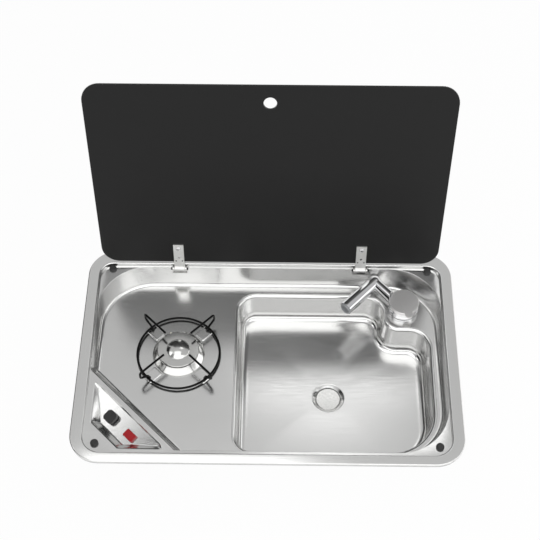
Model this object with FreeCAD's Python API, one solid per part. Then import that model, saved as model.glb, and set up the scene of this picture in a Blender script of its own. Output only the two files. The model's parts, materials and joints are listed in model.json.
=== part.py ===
# Drop-in hob and sink unit: a pressed stainless top with one gas burner, a sink bowl, a low swivel tap
# and a black glass lid on two hinges. Millimetres. The origin is the middle of the flange on the worktop
# plane, +Z is up and the front edge faces -Y. The lid stands open, as it does in use.
import FreeCAD, Part
import math
import os

from FreeCAD import Vector

# Sheet and levels
SHEET = 1.0
FLANGE_TOP = 7.0
SEAT_DROP = 8.0
DECK_DROP = 40.0
FLOOR_DROP = 97.0

# Flange and lid seat, in plan
FLANGE_W = 600.0
FLANGE_D = 390.0
FLANGE_R = 47.0
EDGE_ROUND = 2.0
SKIRT_GAP = 0.5
SIDE_BORDER = 19.25
FRONT_BORDER = 16.0
REAR_BORDER = 27.0
SEAT_R = 30.0
SEAT_REAR_R = 22.0

# Hob recess: its rim on the seat, and how far its walls lean in
RECESS_EDGE = 1.25
RECESS_FRONT_LAND = 8.0
RECESS_RIM_R = 80.0
RECESS_BASE_R = 86.0
SIDE_DRAFT = 2.0
REAR_DRAFT = 11.5
DECK_FILLET = 6.0

# Corner console, measured from the seat's front left corner along its diagonal
RIDGE_FROM_CORNER = 106.0
RIDGE_RUN = 12.0
PANEL_FROM_CORNER = 97.0
PANEL_LOW_FROM_CORNER = 59.5
LAND_FROM_CORNER = 43.5
PANEL_TOP_HALF = 74.0
PANEL_LOW_HALF = 26.0
POCKET_LAND = 8.0
POCKET_R = 5.0
PANEL_BENDS = ((93.0, 69.0), (86.0, 60.5), (75.5, 45.5))
PANEL_STEP = 2.5
PANEL_TILT = 17.0

# Sink bowl mouth, with a notch at the rear right for the tap ledge
BOWL_LEFT = -50.0
BOWL_RIGHT_GAP = 17.0
BOWL_FRONT_GAP = 14.0
BOWL_REAR_GAP = 25.0
NOTCH_W = 71.5
NOTCH_D = 63.5
BOWL_CORNER_R = 28.0
BOWL_FRONT_RIGHT_R = 72.0
NOTCH_INNER_R = 24.0
NOTCH_OUTER_R = 31.0
BOWL_RIM_ROUND = 6.0
BOWL_DRAFT = 2.7
BOWL_FILLET = 12.0

# Waste
WASTE_X = 98.5
WASTE_Y = -29.0
WASTE_RECESS_R = 26.0
WASTE_CONE_DEPTH = 6.0
WASTE_SEAT_R = 20.8
WASTE_RECESS_DEPTH = 10.3
WASTE_NECK_R = 16.0
WASTE_NECK_WALL = 2.0
WASTE_NECK_LENGTH = 17.7
WASTE_FLANGE_T = 1.0
WASTE_FLANGE_R = 20.2
WASTE_GASKET_T = 3.0
WASTE_NUT_H = 6.0
WASTE_NUT_R = 27.0
SPIGOT_R = 12.5
SPIGOT_WALL = 2.0
SPIGOT_LENGTH = 35.0
PLUG_R = 20.0
PLUG_T = 2.2
PLUG_STEM_R = 4.0
PLUG_STEM_LENGTH = 20.0
PLUG_SEAL_T = 1.0

# Glass lid and hinges
LID_GAP = 4.0
LID_REAR_GAP = 17.5
LID_R = 28.0
GLASS_T = 4.0
GLASS_PROUD = 1.0
GLASS_ARRIS = 0.6
FINGER_HOLE_R = 10.0
FINGER_HOLE_INSET = 29.0
LID_OPEN_DEG = 105.3
HINGE_FROM_SIDE = 126.5
HINGE_FROM_GLASS = 12.2
HINGE_BELOW_GLASS = 3.0
PIN_R = 1.5
PIN_HEAD_R = 2.2
PIN_HEAD_T = 2.5
KNUCKLE_R = 3.2
KNUCKLE_HALF = 8.4
LUG_T = 3.0
LUG_R = 3.6
LUG_GAP = 0.3
LEAF_HALF = 8.4
LEAF_T = 2.0
LEAF_REACH = 36.3
LEAF_NECK = 7.0
PAD_T = 0.5
LEAF_SCREW_R = 2.0
LEAF_SCREW_HEAD_R = 4.0
LEAF_SCREW_HEAD_T = 1.6
LEAF_SCREW_INSETS = (10.0, 28.0)
BRACKET_HALF = 12.4
BRACKET_T = 2.0
BRACKET_DROP = 3.0
BRACKET_HEIGHT = 5.5
LUG_FOOT = 5.0
RIVET_X = 5.0
RIVET_R = 1.2
RIVET_HEAD_R = 2.0
RIVET_HEAD_T = 1.0

# Corner buffers
BUFFER_INSET_X = 38.6
BUFFER_INSET_Y = 33.7
BUFFER_R = 6.2
BUFFER_STEM_R = 2.4
BUFFER_STEM_LENGTH = 4.0
BUFFER_LID_GAP = 0.3

# Burner
BURNER_X = -146.0
BURNER_Y = 16.7
BURNER_HOLE_R = 32.5
CUP_R = 31.0
CUP_WALL = 3.5
CUP_DEPTH = 27.0
CUP_RISE = 8.0
CUP_FLANGE_R = 44.0
CUP_FLANGE_T = 3.0
CUP_BOSS_R = 10.0
CUP_BOSS_LENGTH = 11.0
SKIRT_R = 42.3
SKIRT_LIP = 1.5
SKIRT_RISE = 10.5
SKIRT_BORE_GAP = 0.6
HEAD_R = 30.8
HEAD_BORE_R = 22.0
HEAD_H = 5.0
HEAD_SPIGOT = 4.0
PORTS = 24
PORT_W = 1.8
PORT_H = 2.5
CAP_R = 33.0
CAP_EDGE = 2.0
CAP_RISE = 2.5
CAP_BOSS = 6.5
DOME_R = 18.5
DOME_RISE = 4.2
STUD_R = 2.0
STUD_RING_R = 39.5
STUD_NUT_R = 4.0
STUD_NUT_H = 3.0
STUD_ANGLES = (90.0, 210.0, 330.0)
SENSOR_RING_R = 38.0
ELECTRODE_ANGLE = 112.0
THERMOCOUPLE_ANGLE = 68.0
INSULATOR_R = 2.0
ELECTRODE_R = 1.0
THERMOCOUPLE_R = 1.8
SENSOR_RISE = 9.0
SENSOR_DROP = 14.0
JET_HEX_R = 6.0
JET_HEX_H = 10.0
JET_THREAD_R = 3.9
JET_ORIFICE_R = 0.8

# Pan support
SUPPORT_WIRE_R = 1.6
SUPPORT_RING_R = 66.6
SUPPORT_RING_LIFT = 5.2
SUPPORT_TOP_LIFT = 32.0
SUPPORT_INNER_R = 28.5
SUPPORT_TIP_R = 78.8
SUPPORT_FOOT_R = 64.2
SUPPORT_BEND = 3.5
ARM_ANGLES = (45.0, 135.0, 225.0, 315.0)
PAD_INNER_R = 43.6
PAD_OUTER_R = 69.0
PAD_HALF = 9.5
PAD_LIFT = 1.2
GROMMET_R = 3.5
GROMMET_NECK_R = 2.8
GROMMET_FLANGE_T = 0.6
GROMMET_LENGTH = 4.0
FIT = 0.05
CLEAR = 0.3

# Gas valve and knob, on the console panel
KNOB_U = -17.9
KNOB_V = 1.7
KNOB_R = 10.7
KNOB_FLATS = 9.3
KNOB_H = 6.4
KNOB_LIFT = 2.9
KNOB_HOLLOW_R = 8.0
KNOB_HOLLOW_H = 3.7
KNOB_GROOVE_W = 1.4
KNOB_GROOVE_D = 0.6
SPINDLE_R = 3.0
SPINDLE_RUN = 0.06
SPINDLE_LOW = -20.0
THRUST_PIN_LENGTH = 4.0
VALVE_HALF_U = 12.0
VALVE_HALF_V = 13.0
VALVE_TOP = -9.0
VALVE_BOTTOM = -34.0
VALVE_SHOULDER_R = 9.0
VALVE_NECK_R = 5.0
VALVE_NECK_TOP = 3.0
VALVE_BORE_BOTTOM = -28.0
PANEL_NUT_R = 7.4
PANEL_NUT_H = 2.5
PORT_BOSS_R = 5.0
PORT_BOSS_LENGTH = 8.0
PIPE_R = 4.0
PIPE_BEND = 14.0
PIPE_NUT_R = 7.0
PIPE_NUT_H = 10.0
OUTLET_UV = (5.5, -5.0)
INLET_UV = (-6.0, -5.0)
SENSOR_UV = (0.0, 8.0)
SENSOR_BOSS_R = 3.5
SENSOR_BOSS_LENGTH = 6.0
LEAD_R = 1.5
LEAD_BEND = 12.0
INLET_END = (-250.0, 150.0, -81.5)
PIPE_LOW = -104.0
PIPE_DROP = 32.0
LEAD_DROP = 18.0

# Igniter
BUTTON_U = 25.2
BUTTON_V = 1.6
BUTTON_HALF_U = 9.6
BUTTON_HALF_V = 6.5
BUTTON_TOP = 4.8
BUTTON_BOTTOM = -8.0
BUTTON_ROUND = 1.0
BUTTON_STEM_R = 3.0
BUTTON_STEM_LENGTH = 8.0
BUTTON_GAP = 0.4
BUTTON_TRAVEL = 4.0
IGNITER_WALL = 2.0
IGNITER_BOTTOM = -40.0
IGNITER_FLANGE = 3.0
IGNITER_FLANGE_T = 3.0
TERMINAL_R = 2.0
TERMINAL_LENGTH = 6.0

# Tap
TAP_FROM_RIGHT = 55.0
TAP_FROM_REAR = 43.75
TAP_BASE_R = 25.0
TAP_GASKET_T = 1.0
TAP_BASE_H = 5.0
TAP_COLLAR_R = 24.5
TAP_COLLAR_H = 7.2
TAP_GAP = 0.3
TAP_POST_R = 8.0
TAP_TIP_R = 5.0
TAP_TIP_H = 3.8
HANDLE_H = 5.0
HANDLE_RUN = 0.06
LEVER_REACH = 33.0
LEVER_HALF = 6.5
LEVER_T = 3.6
LEVER_RISE = 1.6
LEVER_ANGLE = -75.0
SHANK_R = 10.0
SHANK_LENGTH = 47.0
SHANK_GAP = 0.6
TAP_NUT_R = 16.0
TAP_NUT_H = 8.0
TAIL_R = 4.0
TAIL_X = 5.0
TAIL_LENGTH = 40.0
NECK_R = 10.2
SPOUT_R = 11.5
SPOUT_BORE_R = 9.2
SPOUT_LIFT = 20.0
NECK_START = (-17.6, 1.1)
ELBOW = (-48.0, 36.9)
SPOUT_TIP = (-96.8, -15.9)
AERATOR_R = 9.1
AERATOR_LENGTH = 12.0
AERATOR_OUT = 2.5

# Rim seal and clamps
SEAL_OUTER = 3.0
SEAL_INNER = 12.5
CLAMP_HALF = 15.0
CLAMP_T = 1.5
CLAMP_TOP = 4.0
CLAMP_LOW = -52.0
CLAMP_TAB = 20.0
CLAMP_SCREW_IN = 11.0
WINDOW_HALF = 9.0
WINDOW_LOW = -49.0
WINDOW_TOP = -35.0
ARM_HALF = 7.0
ARM_T = 3.0
ARM_Z = -42.0
ARM_OUT = 17.0
ARM_IN = 18.0
CLAMP_SCREW_R = 2.5
CLAMP_SCREW_LOW = -72.0
CLAMP_HEAD_R = 4.5
CLAMP_HEAD_T = 3.0
CLAMP_FRONT_Y = -50.0
CLAMP_REAR_Y = 60.0

# Levels and edges that follow from the sizes above
SEAT_Z = FLANGE_TOP - SEAT_DROP
DECK_Z = FLANGE_TOP - DECK_DROP
FLOOR_Z = FLANGE_TOP - FLOOR_DROP
SEAT_X = FLANGE_W / 2 - SIDE_BORDER
SEAT_FRONT = -FLANGE_D / 2 + FRONT_BORDER
SEAT_REAR = FLANGE_D / 2 - REAR_BORDER
RIM_X = SEAT_X - RECESS_EDGE
RIM_FRONT = SEAT_FRONT + RECESS_FRONT_LAND
RIM_REAR = SEAT_REAR - RECESS_EDGE
BASE_X = RIM_X - SIDE_DRAFT
BASE_FRONT = RIM_FRONT + SIDE_DRAFT
BASE_REAR = RIM_REAR - REAR_DRAFT
WALL_LOW = DECK_Z + DECK_FILLET
GLASS_LOW = FLANGE_TOP + GLASS_PROUD - GLASS_T
LID_REAR = SEAT_REAR - LID_REAR_GAP
LID_FRONT = SEAT_FRONT + LID_GAP
LID_X = SEAT_X - LID_GAP
HINGE_X = LID_X - HINGE_FROM_SIDE
HINGE_Y = LID_REAR + HINGE_FROM_GLASS
HINGE_Z = GLASS_LOW - HINGE_BELOW_GLASS
WASTE_LEDGE_Z = FLOOR_Z - WASTE_RECESS_DEPTH
CUP_TOP = DECK_Z + CUP_RISE
HEAD_TOP = CUP_TOP + HEAD_H
PAD_Z = DECK_Z + PAD_LIFT
UP = Vector(0, 0, 1)
BURNER = Vector(BURNER_X, BURNER_Y, 0)
TAP = Vector(BASE_X - TAP_FROM_RIGHT, BASE_REAR - TAP_FROM_REAR, 0)
WASTE = Vector(WASTE_X, WASTE_Y, 0)
ROUND_STEPS = (0.0, 30.0, 60.0, 90.0)


# Shared shapes

def cylinder(radius, low, high, at=Vector()):
    """Upright cylinder between two levels."""
    return Part.makeCylinder(radius, high - low, Vector(at.x, at.y, low))


def ring(outer, inner, low, high, at=Vector()):
    """Upright tube between two levels."""
    return cylinder(outer, low, high, at).cut(cylinder(inner, low - 1, high + 1, at))


def block(x0, x1, y0, y1, z0, z1):
    """Box between two corners."""
    return Part.makeBox(x1 - x0, y1 - y0, z1 - z0, Vector(x0, y0, z0))


def hexagon(radius, low, high, at=Vector()):
    """Upright six-sided prism."""
    turns = [math.radians(60 * i) for i in range(7)]
    points = [Vector(at.x + radius * math.cos(a), at.y + radius * math.sin(a), low) for a in turns]
    return Part.Face(Part.makePolygon(points)).extrude(UP * (high - low))


def turned(points, at=Vector()):
    """Solid of revolution about a vertical line; points are (radius, z)."""
    corners = [Vector(r, 0, z) for r, z in points]
    face = Part.Face(Part.makePolygon(corners + corners[:1]))
    solid = face.revolve(Vector(), UP, 360)
    solid.translate(Vector(at.x, at.y, 0))
    return solid


def outline(corners, z, grow=0.0):
    """Closed wire of straight runs and tangent arcs. corners are (x, y, radius) anticlockwise, and
    grow moves every side outwards, so that arcs stay concentric."""
    count = len(corners)
    points = [Vector(x, y, z) for x, y, _ in corners]
    runs = [(points[(i + 1) % count] - points[i]).normalize() for i in range(count)]
    outwards = [Vector(d.y, -d.x, 0) for d in runs]
    starts = []
    ends = []
    arcs = []
    for i, (_, _, radius) in enumerate(corners):
        before, after = runs[i - 1], runs[i]
        cross = before.x * after.y - before.y * after.x
        half = math.acos(max(-1.0, min(1.0, before.dot(after)))) / 2
        bend = radius + (grow if cross > 0 else -grow)
        shift = outwards[i - 1] + outwards[i]
        vertex = points[i] + shift * (grow / (1 + outwards[i - 1].dot(outwards[i])))
        reach = bend * math.tan(half)
        inwards = (after - before).normalize()
        starts.append(vertex - before * reach)
        ends.append(vertex + after * reach)
        middle = vertex + inwards * (bend / math.cos(half) - bend)
        arcs.append(Part.Arc(starts[i], middle, ends[i]).toShape())
    edges = []
    for i in range(count):
        edges.append(arcs[i])
        edges.append(Part.LineSegment(ends[i], starts[(i + 1) % count]).toShape())
    return Part.Wire(edges)


def four_corners(x0, x1, y0, y1, radius):
    """Corners of a rounded rectangle."""
    return [(x0, y0, radius), (x1, y0, radius), (x1, y1, radius), (x0, y1, radius)]


def prism(corners, low, high, grow=0.0):
    """Rounded outline raised between two levels."""
    return Part.Face(outline(corners, low, grow)).extrude(UP * (high - low))


def stack(sections):
    """Solid through (corners, z, grow) sections with straight walls between them."""
    wires = [outline(corners, z, grow) for corners, z, grow in sections]
    return Part.makeLoft(wires, True, True)


def bent_rod(points, bend, radius):
    """Round rod along straight runs joined by tangent arcs."""
    edges = []
    start = points[0]
    for before, corner, after in zip(points, points[1:], points[2:]):
        arrive = (corner - before).normalize()
        leave = (after - corner).normalize()
        half = math.acos(arrive.dot(leave)) / 2
        reach = bend * math.tan(half)
        first = corner - arrive * reach
        last = corner + leave * reach
        middle = corner + (leave - arrive).normalize() * (bend / math.cos(half) - bend)
        edges.append(Part.LineSegment(start, first).toShape())
        edges.append(Part.Arc(first, middle, last).toShape())
        start = last
    edges.append(Part.LineSegment(start, points[-1]).toShape())
    path = Part.Wire(edges)
    heading = (points[1] - points[0]).normalize()
    section = Part.Wire(Part.makeCircle(radius, points[0], heading))
    return path.makePipeShell([section], True, True)


def around(middle, radius, degrees):
    """Point on a circle in plan."""
    a = math.radians(degrees)
    return Vector(middle.x + radius * math.cos(a), middle.y + radius * math.sin(a), 0)


def save(name, shapes):
    """Write one node: a solid, or a group of separate solids."""
    shape = shapes[0] if len(shapes) == 1 else Part.makeCompound(shapes)
    shape.exportStep("parts/" + name + ".step")


# Console frame: from the seat's front left corner, s runs inwards on the diagonal and t across it

ACROSS = Vector(1, -1, 0).normalize()
INWARDS = Vector(1, 1, 0).normalize()
CONSOLE_CORNER = Vector(-SEAT_X, SEAT_FRONT, 0)
TILT = math.radians(PANEL_TILT)
PANEL_TOP_Z = SEAT_Z - PANEL_STEP
PANEL_MIDDLE = PANEL_LOW_FROM_CORNER + 0.38 * (PANEL_FROM_CORNER - PANEL_LOW_FROM_CORNER)
UPSLOPE = INWARDS * math.cos(TILT) + UP * math.sin(TILT)
PANEL_NORMAL = UP * math.cos(TILT) - INWARDS * math.sin(TILT)
PANEL_UNDER = -SHEET * math.cos(TILT)


def console_point(s, t, z):
    """Point of the console from its diagonal distance, its place across, and its level."""
    return CONSOLE_CORNER + INWARDS * s + ACROSS * t + UP * z


def panel_level(s):
    """Level of the tilted panel at a diagonal distance."""
    return PANEL_TOP_Z - (PANEL_FROM_CORNER - s) * math.tan(TILT)


PANEL_ORIGIN = console_point(PANEL_MIDDLE, 0, panel_level(PANEL_MIDDLE))


def panel_point(u, v, w):
    """Point from the panel's own axes: u across, v up its slope, w out of its face."""
    return PANEL_ORIGIN + ACROSS * u + UPSLOPE * v + PANEL_NORMAL * w


def on_panel(shape):
    """Carry a shape made about the panel's own axes to its place."""
    a, b, c, o = ACROSS, UPSLOPE, PANEL_NORMAL, PANEL_ORIGIN
    place = FreeCAD.Matrix(a.x, b.x, c.x, o.x, a.y, b.y, c.y, o.y, a.z, b.z, c.z, o.z, 0, 0, 0, 1)
    moved = shape.copy()
    moved.transformShape(place, True)
    return moved


KNOB_AT = Vector(KNOB_U, KNOB_V, 0)
BUTTON_AT = Vector(BUTTON_U, BUTTON_V, 0)


def button_block(half_u, half_v, low, high):
    """Box about the igniter button's middle, in the panel's own axes."""
    return block(BUTTON_U - half_u, BUTTON_U + half_u, BUTTON_V - half_v, BUTTON_V + half_v, low, high)


# Outlines of the pressing

FLANGE = four_corners(-FLANGE_W / 2, FLANGE_W / 2, -FLANGE_D / 2, FLANGE_D / 2, FLANGE_R)
SEAT = four_corners(-SEAT_X, SEAT_X, SEAT_FRONT, SEAT_REAR, SEAT_R)[:2]
SEAT += four_corners(-SEAT_X, SEAT_X, SEAT_FRONT, SEAT_REAR, SEAT_REAR_R)[2:]
RIM = four_corners(-RIM_X, RIM_X, RIM_FRONT, RIM_REAR, RECESS_RIM_R)
BASE = four_corners(-BASE_X, BASE_X, BASE_FRONT, BASE_REAR, RECESS_BASE_R)
BOWL_RIGHT = BASE_X - BOWL_RIGHT_GAP
BOWL_FRONT = BASE_FRONT + BOWL_FRONT_GAP
BOWL_REAR = BASE_REAR - BOWL_REAR_GAP
BOWL = [
    (BOWL_LEFT, BOWL_FRONT, BOWL_CORNER_R),
    (BOWL_RIGHT, BOWL_FRONT, BOWL_FRONT_RIGHT_R),
    (BOWL_RIGHT, BOWL_REAR - NOTCH_D, NOTCH_OUTER_R),
    (BOWL_RIGHT - NOTCH_W, BOWL_REAR - NOTCH_D, NOTCH_INNER_R),
    (BOWL_RIGHT - NOTCH_W, BOWL_REAR, NOTCH_OUTER_R),
    (BOWL_LEFT, BOWL_REAR, BOWL_CORNER_R),
]


def rounding(corners, radius, top, thick=0.0):
    """Sections of an edge that turns down from a level face, seen from its hollow side."""
    sections = []
    for step in ROUND_STEPS:
        a = math.radians(step)
        reach = radius - thick
        sections.append((corners, top - radius + reach * math.cos(a), radius - reach * math.sin(a)))
    return sections


def filleting(corners, radius, floor, thick=0.0, grow=0.0):
    """Sections of a wall that turns into a floor."""
    sections = []
    for step in ROUND_STEPS:
        a = math.radians(step)
        reach = radius + thick
        sections.append((corners, floor + radius - reach * math.sin(a), grow - radius + reach * math.cos(a)))
    return sections


def seat_space():
    """Room above the lid seat, with the flange's rounded inner edge."""
    return stack(rounding(SEAT, EDGE_ROUND, FLANGE_TOP) + [(SEAT, SEAT_Z, 0.0)])


def console_mass(thick):
    """Everything on the corner side of the console's diagonal wall."""
    slope = math.hypot(1.0, RIDGE_RUN / (SEAT_Z - DECK_Z))
    back = thick * slope
    lean = RIDGE_RUN / (SEAT_Z - DECK_Z)
    over = 20.0
    high = SEAT_Z + over
    low = DECK_Z - over
    top = RIDGE_FROM_CORNER - lean * over - back
    foot = RIDGE_FROM_CORNER + RIDGE_RUN + lean * over - back
    far = -FLANGE_W
    wide = FLANGE_W
    points = [console_point(s, -wide, z) for s, z in ((far, low), (foot, low), (top, high), (far, high))]
    return Part.Face(Part.makePolygon(points + points[:1])).extrude(ACROSS * (2 * wide))


def recess_space(thick=0.0):
    """Room over the hob deck, or with thick the same grown by the sheet, less the console."""
    sections = [(RIM, SEAT_Z, thick)] + filleting(BASE, DECK_FILLET, DECK_Z, thick)
    return stack(sections).cut(console_mass(thick))


def pocket_space(thick=0.0):
    """Sunken corner over the tilted panel, or with thick the same grown by the sheet."""
    rise = 0.0 if thick else 1.0

    aslant = math.sqrt(0.5) * thick
    bend = POCKET_R + thick
    middle_s = PANEL_FROM_CORNER - POCKET_R
    turns = [math.radians(a) for a in (0, 45, 90, 135)]
    land = [(middle_s + bend * math.cos(a), PANEL_TOP_HALF + bend * math.sin(a)) for a in turns]
    land_s = LAND_FROM_CORNER - thick
    land.append((land_s, land_s - math.sqrt(2) * (POCKET_LAND - thick)))
    panel = [(PANEL_FROM_CORNER + thick, PANEL_TOP_HALF)]
    panel += [(s - aslant, half + aslant) for s, half in PANEL_BENDS]
    panel.append((PANEL_LOW_FROM_CORNER - thick, PANEL_LOW_HALF + aslant))
    wires = []
    for edge, levels in ((land, [SEAT_Z + rise] * 5), (panel, [panel_level(s) - thick for s, _ in panel])):
        left = [console_point(s, -half, z) for (s, half), z in zip(edge, levels)]
        right = [console_point(s, half, z) for (s, half), z in zip(edge, levels)]
        points = right + left[::-1]
        wires.append(Part.makePolygon(points + points[:1]))
    return Part.makeLoft(wires, True, True)


def support_pads(inset, low, high):
    """Four raised radial pads that carry the pan support's feet."""
    pads = []
    for angle in ARM_ANGLES:
        pad = block(PAD_INNER_R + inset, PAD_OUTER_R - inset, -PAD_HALF + inset, PAD_HALF - inset, low, high)
        pad.rotate(Vector(), UP, angle)
        pad.translate(BURNER)
        pads.append(pad)
    return pads


def sensor_point(angle):
    """Place of the electrode or thermocouple beside the burner head."""
    return around(BURNER, SENSOR_RING_R, angle)


def buffer_points():
    """Places of the four corner buffers."""
    x = FLANGE_W / 2 - BUFFER_INSET_X
    y = FLANGE_D / 2 - BUFFER_INSET_Y
    return [Vector(sx * x, sy * y, 0) for sx in (-1, 1) for sy in (-1, 1)]


def foot_points():
    """Places where the pan support's feet go through the deck."""
    return [around(BURNER, SUPPORT_FOOT_R, angle) for angle in ARM_ANGLES]


def wall_y(z):
    """Face of the recess's rear wall at a level."""
    return RIM_REAR - REAR_DRAFT * (SEAT_Z - z) / (SEAT_Z - WALL_LOW)


WALL_NORMAL = Vector(0, -(SEAT_Z - WALL_LOW), REAR_DRAFT).normalize()
BRACKET_TOP = SEAT_Z - BRACKET_DROP
BRACKET_LOW = BRACKET_TOP - BRACKET_HEIGHT
RIVET_Z = (BRACKET_TOP + BRACKET_LOW) / 2


def rivet_points():
    """Places of the hinge rivets on the rear wall."""
    rows = [side * HINGE_X + offset for side in (-1, 1) for offset in (-RIVET_X, RIVET_X)]
    return [Vector(x, wall_y(RIVET_Z), RIVET_Z) for x in rows]


def along(radius, start, direction, low, high):
    """Cylinder on a slanted line, between two distances from its start."""
    return Part.makeCylinder(radius, high - low, start + direction * low, direction)


def pressing_holes():
    """Everything that is punched through the pressing."""
    holes = [prism(BOWL, DECK_Z - 2 * DECK_FILLET, DECK_Z + 1, BOWL_RIM_ROUND)]
    low = DECK_Z - DECK_FILLET
    high = PAD_Z + 1
    holes.append(cylinder(BURNER_HOLE_R, low, high, BURNER))
    holes.append(cylinder(SHANK_R + SHANK_GAP, low, high, TAP))
    holes.append(cylinder(INSULATOR_R + CLEAR, low, high, sensor_point(ELECTRODE_ANGLE)))
    holes.append(cylinder(THERMOCOUPLE_R + CLEAR, low, high, sensor_point(THERMOCOUPLE_ANGLE)))
    holes += [cylinder(GROMMET_NECK_R + FIT, low, high, p) for p in foot_points()]
    holes += [cylinder(BUFFER_STEM_R + FIT, SEAT_Z - 2 * SHEET, SEAT_Z + 1, p) for p in buffer_points()]
    holes += [along(RIVET_R + FIT, p, WALL_NORMAL, -2 * SHEET, SHEET) for p in rivet_points()]
    reach_u = BUTTON_HALF_U + BUTTON_GAP
    reach_v = BUTTON_HALF_V + BUTTON_GAP
    panel_holes = [
        cylinder(VALVE_NECK_R + FIT, -3 * SHEET, SHEET, KNOB_AT),
        button_block(reach_u, reach_v, -3 * SHEET, SHEET),
    ]
    return holes + [on_panel(hole) for hole in panel_holes]


def top_pressing():
    """Flange, lid seat, hob recess, deck, console and tap ledge, drawn from one sheet."""
    shell = stack([(FLANGE, SKIRT_GAP, 0.0)] + [
        (FLANGE, FLANGE_TOP - EDGE_ROUND + EDGE_ROUND * math.sin(math.radians(a)),
         -EDGE_ROUND + EDGE_ROUND * math.cos(math.radians(a))) for a in ROUND_STEPS])
    shell = shell.cut(prism(FLANGE, SKIRT_GAP - 1, FLANGE_TOP - SHEET, -SHEET))
    drawn = [
        prism(SEAT, SEAT_Z - SHEET, FLANGE_TOP - SHEET, SHEET),
        recess_space(SHEET),
        pocket_space(SHEET),
    ]
    spaces = [seat_space(), recess_space(), pocket_space()]
    sheet = shell.multiFuse(drawn).cut(spaces)
    sheet = sheet.fuse(support_pads(0.0, DECK_Z - SHEET / 2, PAD_Z))
    sheet = sheet.cut(support_pads(SHEET, DECK_Z - 2 * SHEET, PAD_Z - SHEET))
    return sheet.cut(pressing_holes()).removeSplitter()


def bowl_sections(thick=0.0):
    """Sections of the bowl's inner face, or with thick of its outer face."""
    sections = rounding(BOWL, BOWL_RIM_ROUND, DECK_Z, thick)
    if thick:
        sections.insert(0, (BOWL, DECK_Z, BOWL_RIM_ROUND))
    return sections + filleting(BOWL, BOWL_FILLET, FLOOR_Z, thick, -BOWL_DRAFT)


def sink_bowl():
    """Drawn bowl, welded into the deck, with a round coned recess for the waste."""
    ledge = WASTE_LEDGE_Z
    bend = FLOOR_Z - WASTE_CONE_DEPTH
    mid = FLOOR_Z - SHEET / 2
    outer = WASTE_SEAT_R + SHEET
    shell = stack(bowl_sections(SHEET))
    shell = shell.fuse(turned([
        (0, ledge - SHEET), (outer, ledge - SHEET), (outer, bend), (WASTE_RECESS_R + SHEET, mid), (0, mid)], WASTE))
    spaces = [
        stack(bowl_sections()),
        turned([
            (0, ledge), (WASTE_SEAT_R, ledge), (WASTE_SEAT_R, bend), (WASTE_RECESS_R, FLOOR_Z),
            (WASTE_RECESS_R, FLOOR_Z + SHEET), (0, FLOOR_Z + SHEET)], WASTE),
        cylinder(WASTE_NECK_R + CLEAR, ledge - 2 * SHEET, ledge + SHEET, WASTE),
    ]
    return shell.cut(spaces)


def rim_seal():
    """Foam strip under the flange that lies on the worktop."""
    strip = prism(FLANGE, 0, FLANGE_TOP - SHEET, -SEAL_OUTER)
    return strip.cut(prism(FLANGE, -1, FLANGE_TOP, -SEAL_INNER))


def clamp_places():
    """Wall point and outward turn of each worktop clamp, two to a side."""
    x = SEAT_X + SHEET
    places = []
    for y in (CLAMP_FRONT_Y, CLAMP_REAR_Y):
        places.append((Vector(-x, y, 0), 180.0))
        places.append((Vector(x, y, 0), 0.0))
    return places


def clamps(piece):
    """Copies of one clamp piece at every place; +X points out of the wall."""
    copies = []
    for place, turn in clamp_places():
        copy = piece.copy()
        copy.rotate(Vector(), UP, turn)
        copy.translate(place)
        copies.append(copy)
    return copies


def clamp_bracket():
    """Welded leg with a window for the arm and a tapped tab below."""
    leg = block(0, CLAMP_T, -CLAMP_HALF, CLAMP_HALF, CLAMP_LOW, CLAMP_TOP)
    leg = leg.cut(block(-1, CLAMP_T + 1, -WINDOW_HALF, WINDOW_HALF, WINDOW_LOW, WINDOW_TOP))
    tab = block(-CLAMP_TAB, CLAMP_T, -CLAMP_HALF, CLAMP_HALF, CLAMP_LOW - CLAMP_T, CLAMP_LOW)
    screw = Vector(-CLAMP_SCREW_IN, 0, 0)
    return leg.fuse(tab).cut(cylinder(CLAMP_SCREW_R + FIT, CLAMP_LOW - 9, CLAMP_LOW + 9, screw))


def clamp_arm():
    """Dog that reaches out under the worktop."""
    arm = block(-ARM_IN, ARM_OUT, -ARM_HALF, ARM_HALF, ARM_Z, ARM_Z + ARM_T)
    return arm.cut(cylinder(CLAMP_SCREW_R + FIT, ARM_Z - 9, ARM_Z + 9, Vector(-CLAMP_SCREW_IN, 0, 0)))


def clamp_screw():
    """Clamp screw with the collar that lifts the arm."""
    at = Vector(-CLAMP_SCREW_IN, 0, 0)
    top = ARM_Z + ARM_T + CLAMP_T
    shank = cylinder(CLAMP_SCREW_R, CLAMP_SCREW_LOW, top, at)
    collar = cylinder(CLAMP_HEAD_R, ARM_Z - CLAMP_HEAD_T, ARM_Z, at)
    head = hexagon(CLAMP_HEAD_R, CLAMP_SCREW_LOW - CLAMP_HEAD_T, CLAMP_SCREW_LOW, at)
    return shank.fuse([collar, head])


def corner_buffer(at):
    """Rubber button on a corner land; the front pair carries the closed lid."""
    top = GLASS_LOW - BUFFER_LID_GAP
    shoulder = top - EDGE_ROUND
    head = turned([
        (0, SEAT_Z), (BUFFER_R, SEAT_Z), (BUFFER_R, shoulder), (BUFFER_R - EDGE_ROUND, top),
        (0, top)], at)
    return head.fuse(cylinder(BUFFER_STEM_R, SEAT_Z - BUFFER_STEM_LENGTH, SEAT_Z, at))


# Lid and hinges, made closed and then swung open

def opened(shape):
    """Swing a piece of the closed lid to its open place."""
    shape.rotate(Vector(0, HINGE_Y, HINGE_Z), Vector(1, 0, 0), -LID_OPEN_DEG)
    return shape


def leaf_screw_points(x):
    """Places of one leaf's two screws on the closed lid."""
    return [Vector(x, LID_REAR - inset, 0) for inset in LEAF_SCREW_INSETS]


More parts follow.
